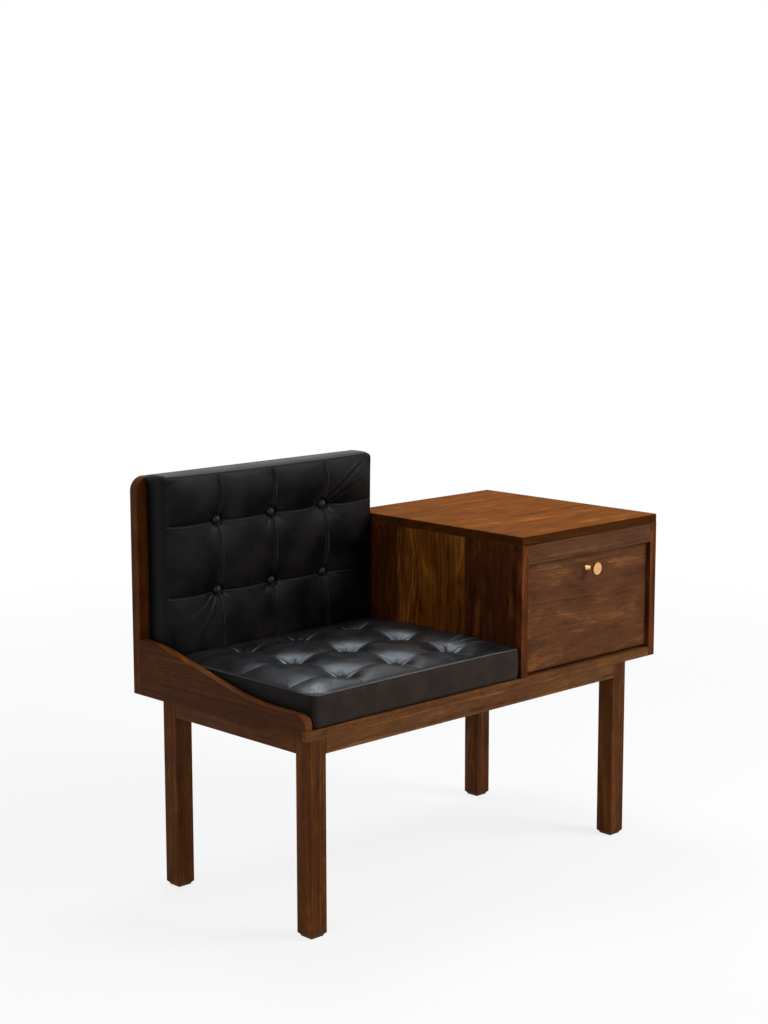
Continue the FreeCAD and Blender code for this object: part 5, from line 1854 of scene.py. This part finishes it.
@dataclass
class Studio:
    """The camera, the lamps, the plain pale floor and the white surroundings."""

    eye: tuple[float, float, float] = (-2.6414, -2.66025, 1.2726)
    turn: tuple[float, float, float] = (80.951, 0.065, -44.124)
    lens: float = 69.158
    ambient: float = 0.32
    lamps: tuple[Lamp, ...] = (
        Lamp("key", (1.7, -2.4, 2.2), (0.0, 0.0, 0.45), 1.6, 78.0, (1.0, 0.975, 0.94)),
        Lamp("overhead", (0.5, 0.8, 2.4), (-0.1, 0.0, 0.45), 0.9, 25.0, (0.84, 0.92, 1.0)),
        Lamp("fill", (-2.6, -0.9, 1.7), (0.0, 0.0, 0.45), 1.6, 18.0),
    )
    floor_reach: float = 14.0

    def camera(self) -> None:
        """Stands the camera where the photograph was taken."""
        data = bpy.data.cameras.new("camera")
        data.lens = self.lens
        data.sensor_width = 36.0
        data.sensor_fit = "AUTO"
        data.clip_end = 60.0
        camera = bpy.data.objects.new("camera", data)
        camera.location = self.eye
        camera.rotation_euler = [math.radians(a) for a in self.turn]
        bpy.context.scene.collection.objects.link(camera)
        bpy.context.scene.camera = camera

    @staticmethod
    def _seen(g: Graph) -> Any:
        """1 for rays from the camera, reflections and glass, else 0.

        Args:
            g: The material being made.

        Returns:
            A 0 to 1 number.
        """
        rays = g.node("LightPath")
        total = g.math("ADD", rays.outputs["Is Camera Ray"], rays.outputs["Is Glossy Ray"])
        return g.math("ADD", total, rays.outputs["Is Transmission Ray"], clamp=True)

    def world(self) -> None:
        """Lights the room evenly and shows it white."""
        world = bpy.data.worlds.new("studio")
        world.use_nodes = True
        tree = world.node_tree
        tree.nodes.clear()
        g = Graph(world.name, tree)
        output = tree.nodes.new("ShaderNodeOutputWorld")
        room = g.node("Background", {"Color": (1, 1, 1, 1), "Strength": self.ambient})
        white = g.node("Background", {"Color": (1, 1, 1, 1), "Strength": 1.0})
        mixed = g.node("MixShader", {0: self._seen(g), 1: room.outputs[0], 2: white.outputs[0]})
        tree.links.new(mixed.outputs[0], output.inputs[0])
        bpy.context.scene.world = world

    def floor(self) -> None:
        """Lays the floor: pale and matt, white to the camera, with the bench's faint shadow.

        The floor's own light takes over with the distance from the bench, so that its far edge
        doesn't show against the surroundings.
        """
        r = self.floor_reach
        corners = np.array([[-r, -r, 0], [r, -r, 0], [r, r, 0], [-r, r, 0]], float)
        g = Graph("floor_pale")
        away = g.node("VectorMath", {0: g.where()}, operation="LENGTH").outputs["Value"]
        grain = g.noise(g.where(), 60.0, 3, 0.5)
        matt = g.finish(
            Base_Color=g.mix(grain, paint(236, 236, 236), paint(242, 242, 242)),
            Roughness=0.9,
            Specular_IOR_Level=0.1,
        )
        glow = g.node("Emission", {"Color": (1, 1, 1, 1), "Strength": 1.0})
        share = g.math("MULTIPLY", self._seen(g), g.spread(away, 0.6, 3.2, to=(0.80, 1.0)))
        mixed = g.node("MixShader", {0: share, 1: g.shader.outputs[0], 2: glow.outputs[0]})
        g.tree.links.new(mixed.outputs[0], g.output.inputs[0])
        floor = Skin(corners, [np.array([[0, 1, 2, 3]])]).made("floor", matt, smooth=False)

    def build(self) -> None:
        """Makes the camera, the lamps, the surroundings and the floor."""
        self.camera()
        for lamp in self.lamps:
            lamp.build()
        self.world()
        self.floor()
        bpy.context.scene.view_settings.view_transform = "Standard"


def main() -> None:
    """Loads the frame and builds the studio, the woodwork, the fittings and the upholstery."""
    logging.basicConfig(level=logging.INFO, format="%(name)s: %(message)s")
    nodes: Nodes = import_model()["nodes"]
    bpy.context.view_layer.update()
    Studio().build()
    finishes = Finishes()
    for part in (Stand(), SeatAndBack(), Cabinet(), FlapFittings()):
        part.build(nodes, finishes)
    Upholstery().build(finishes)


if __name__ == "__main__":
    main()
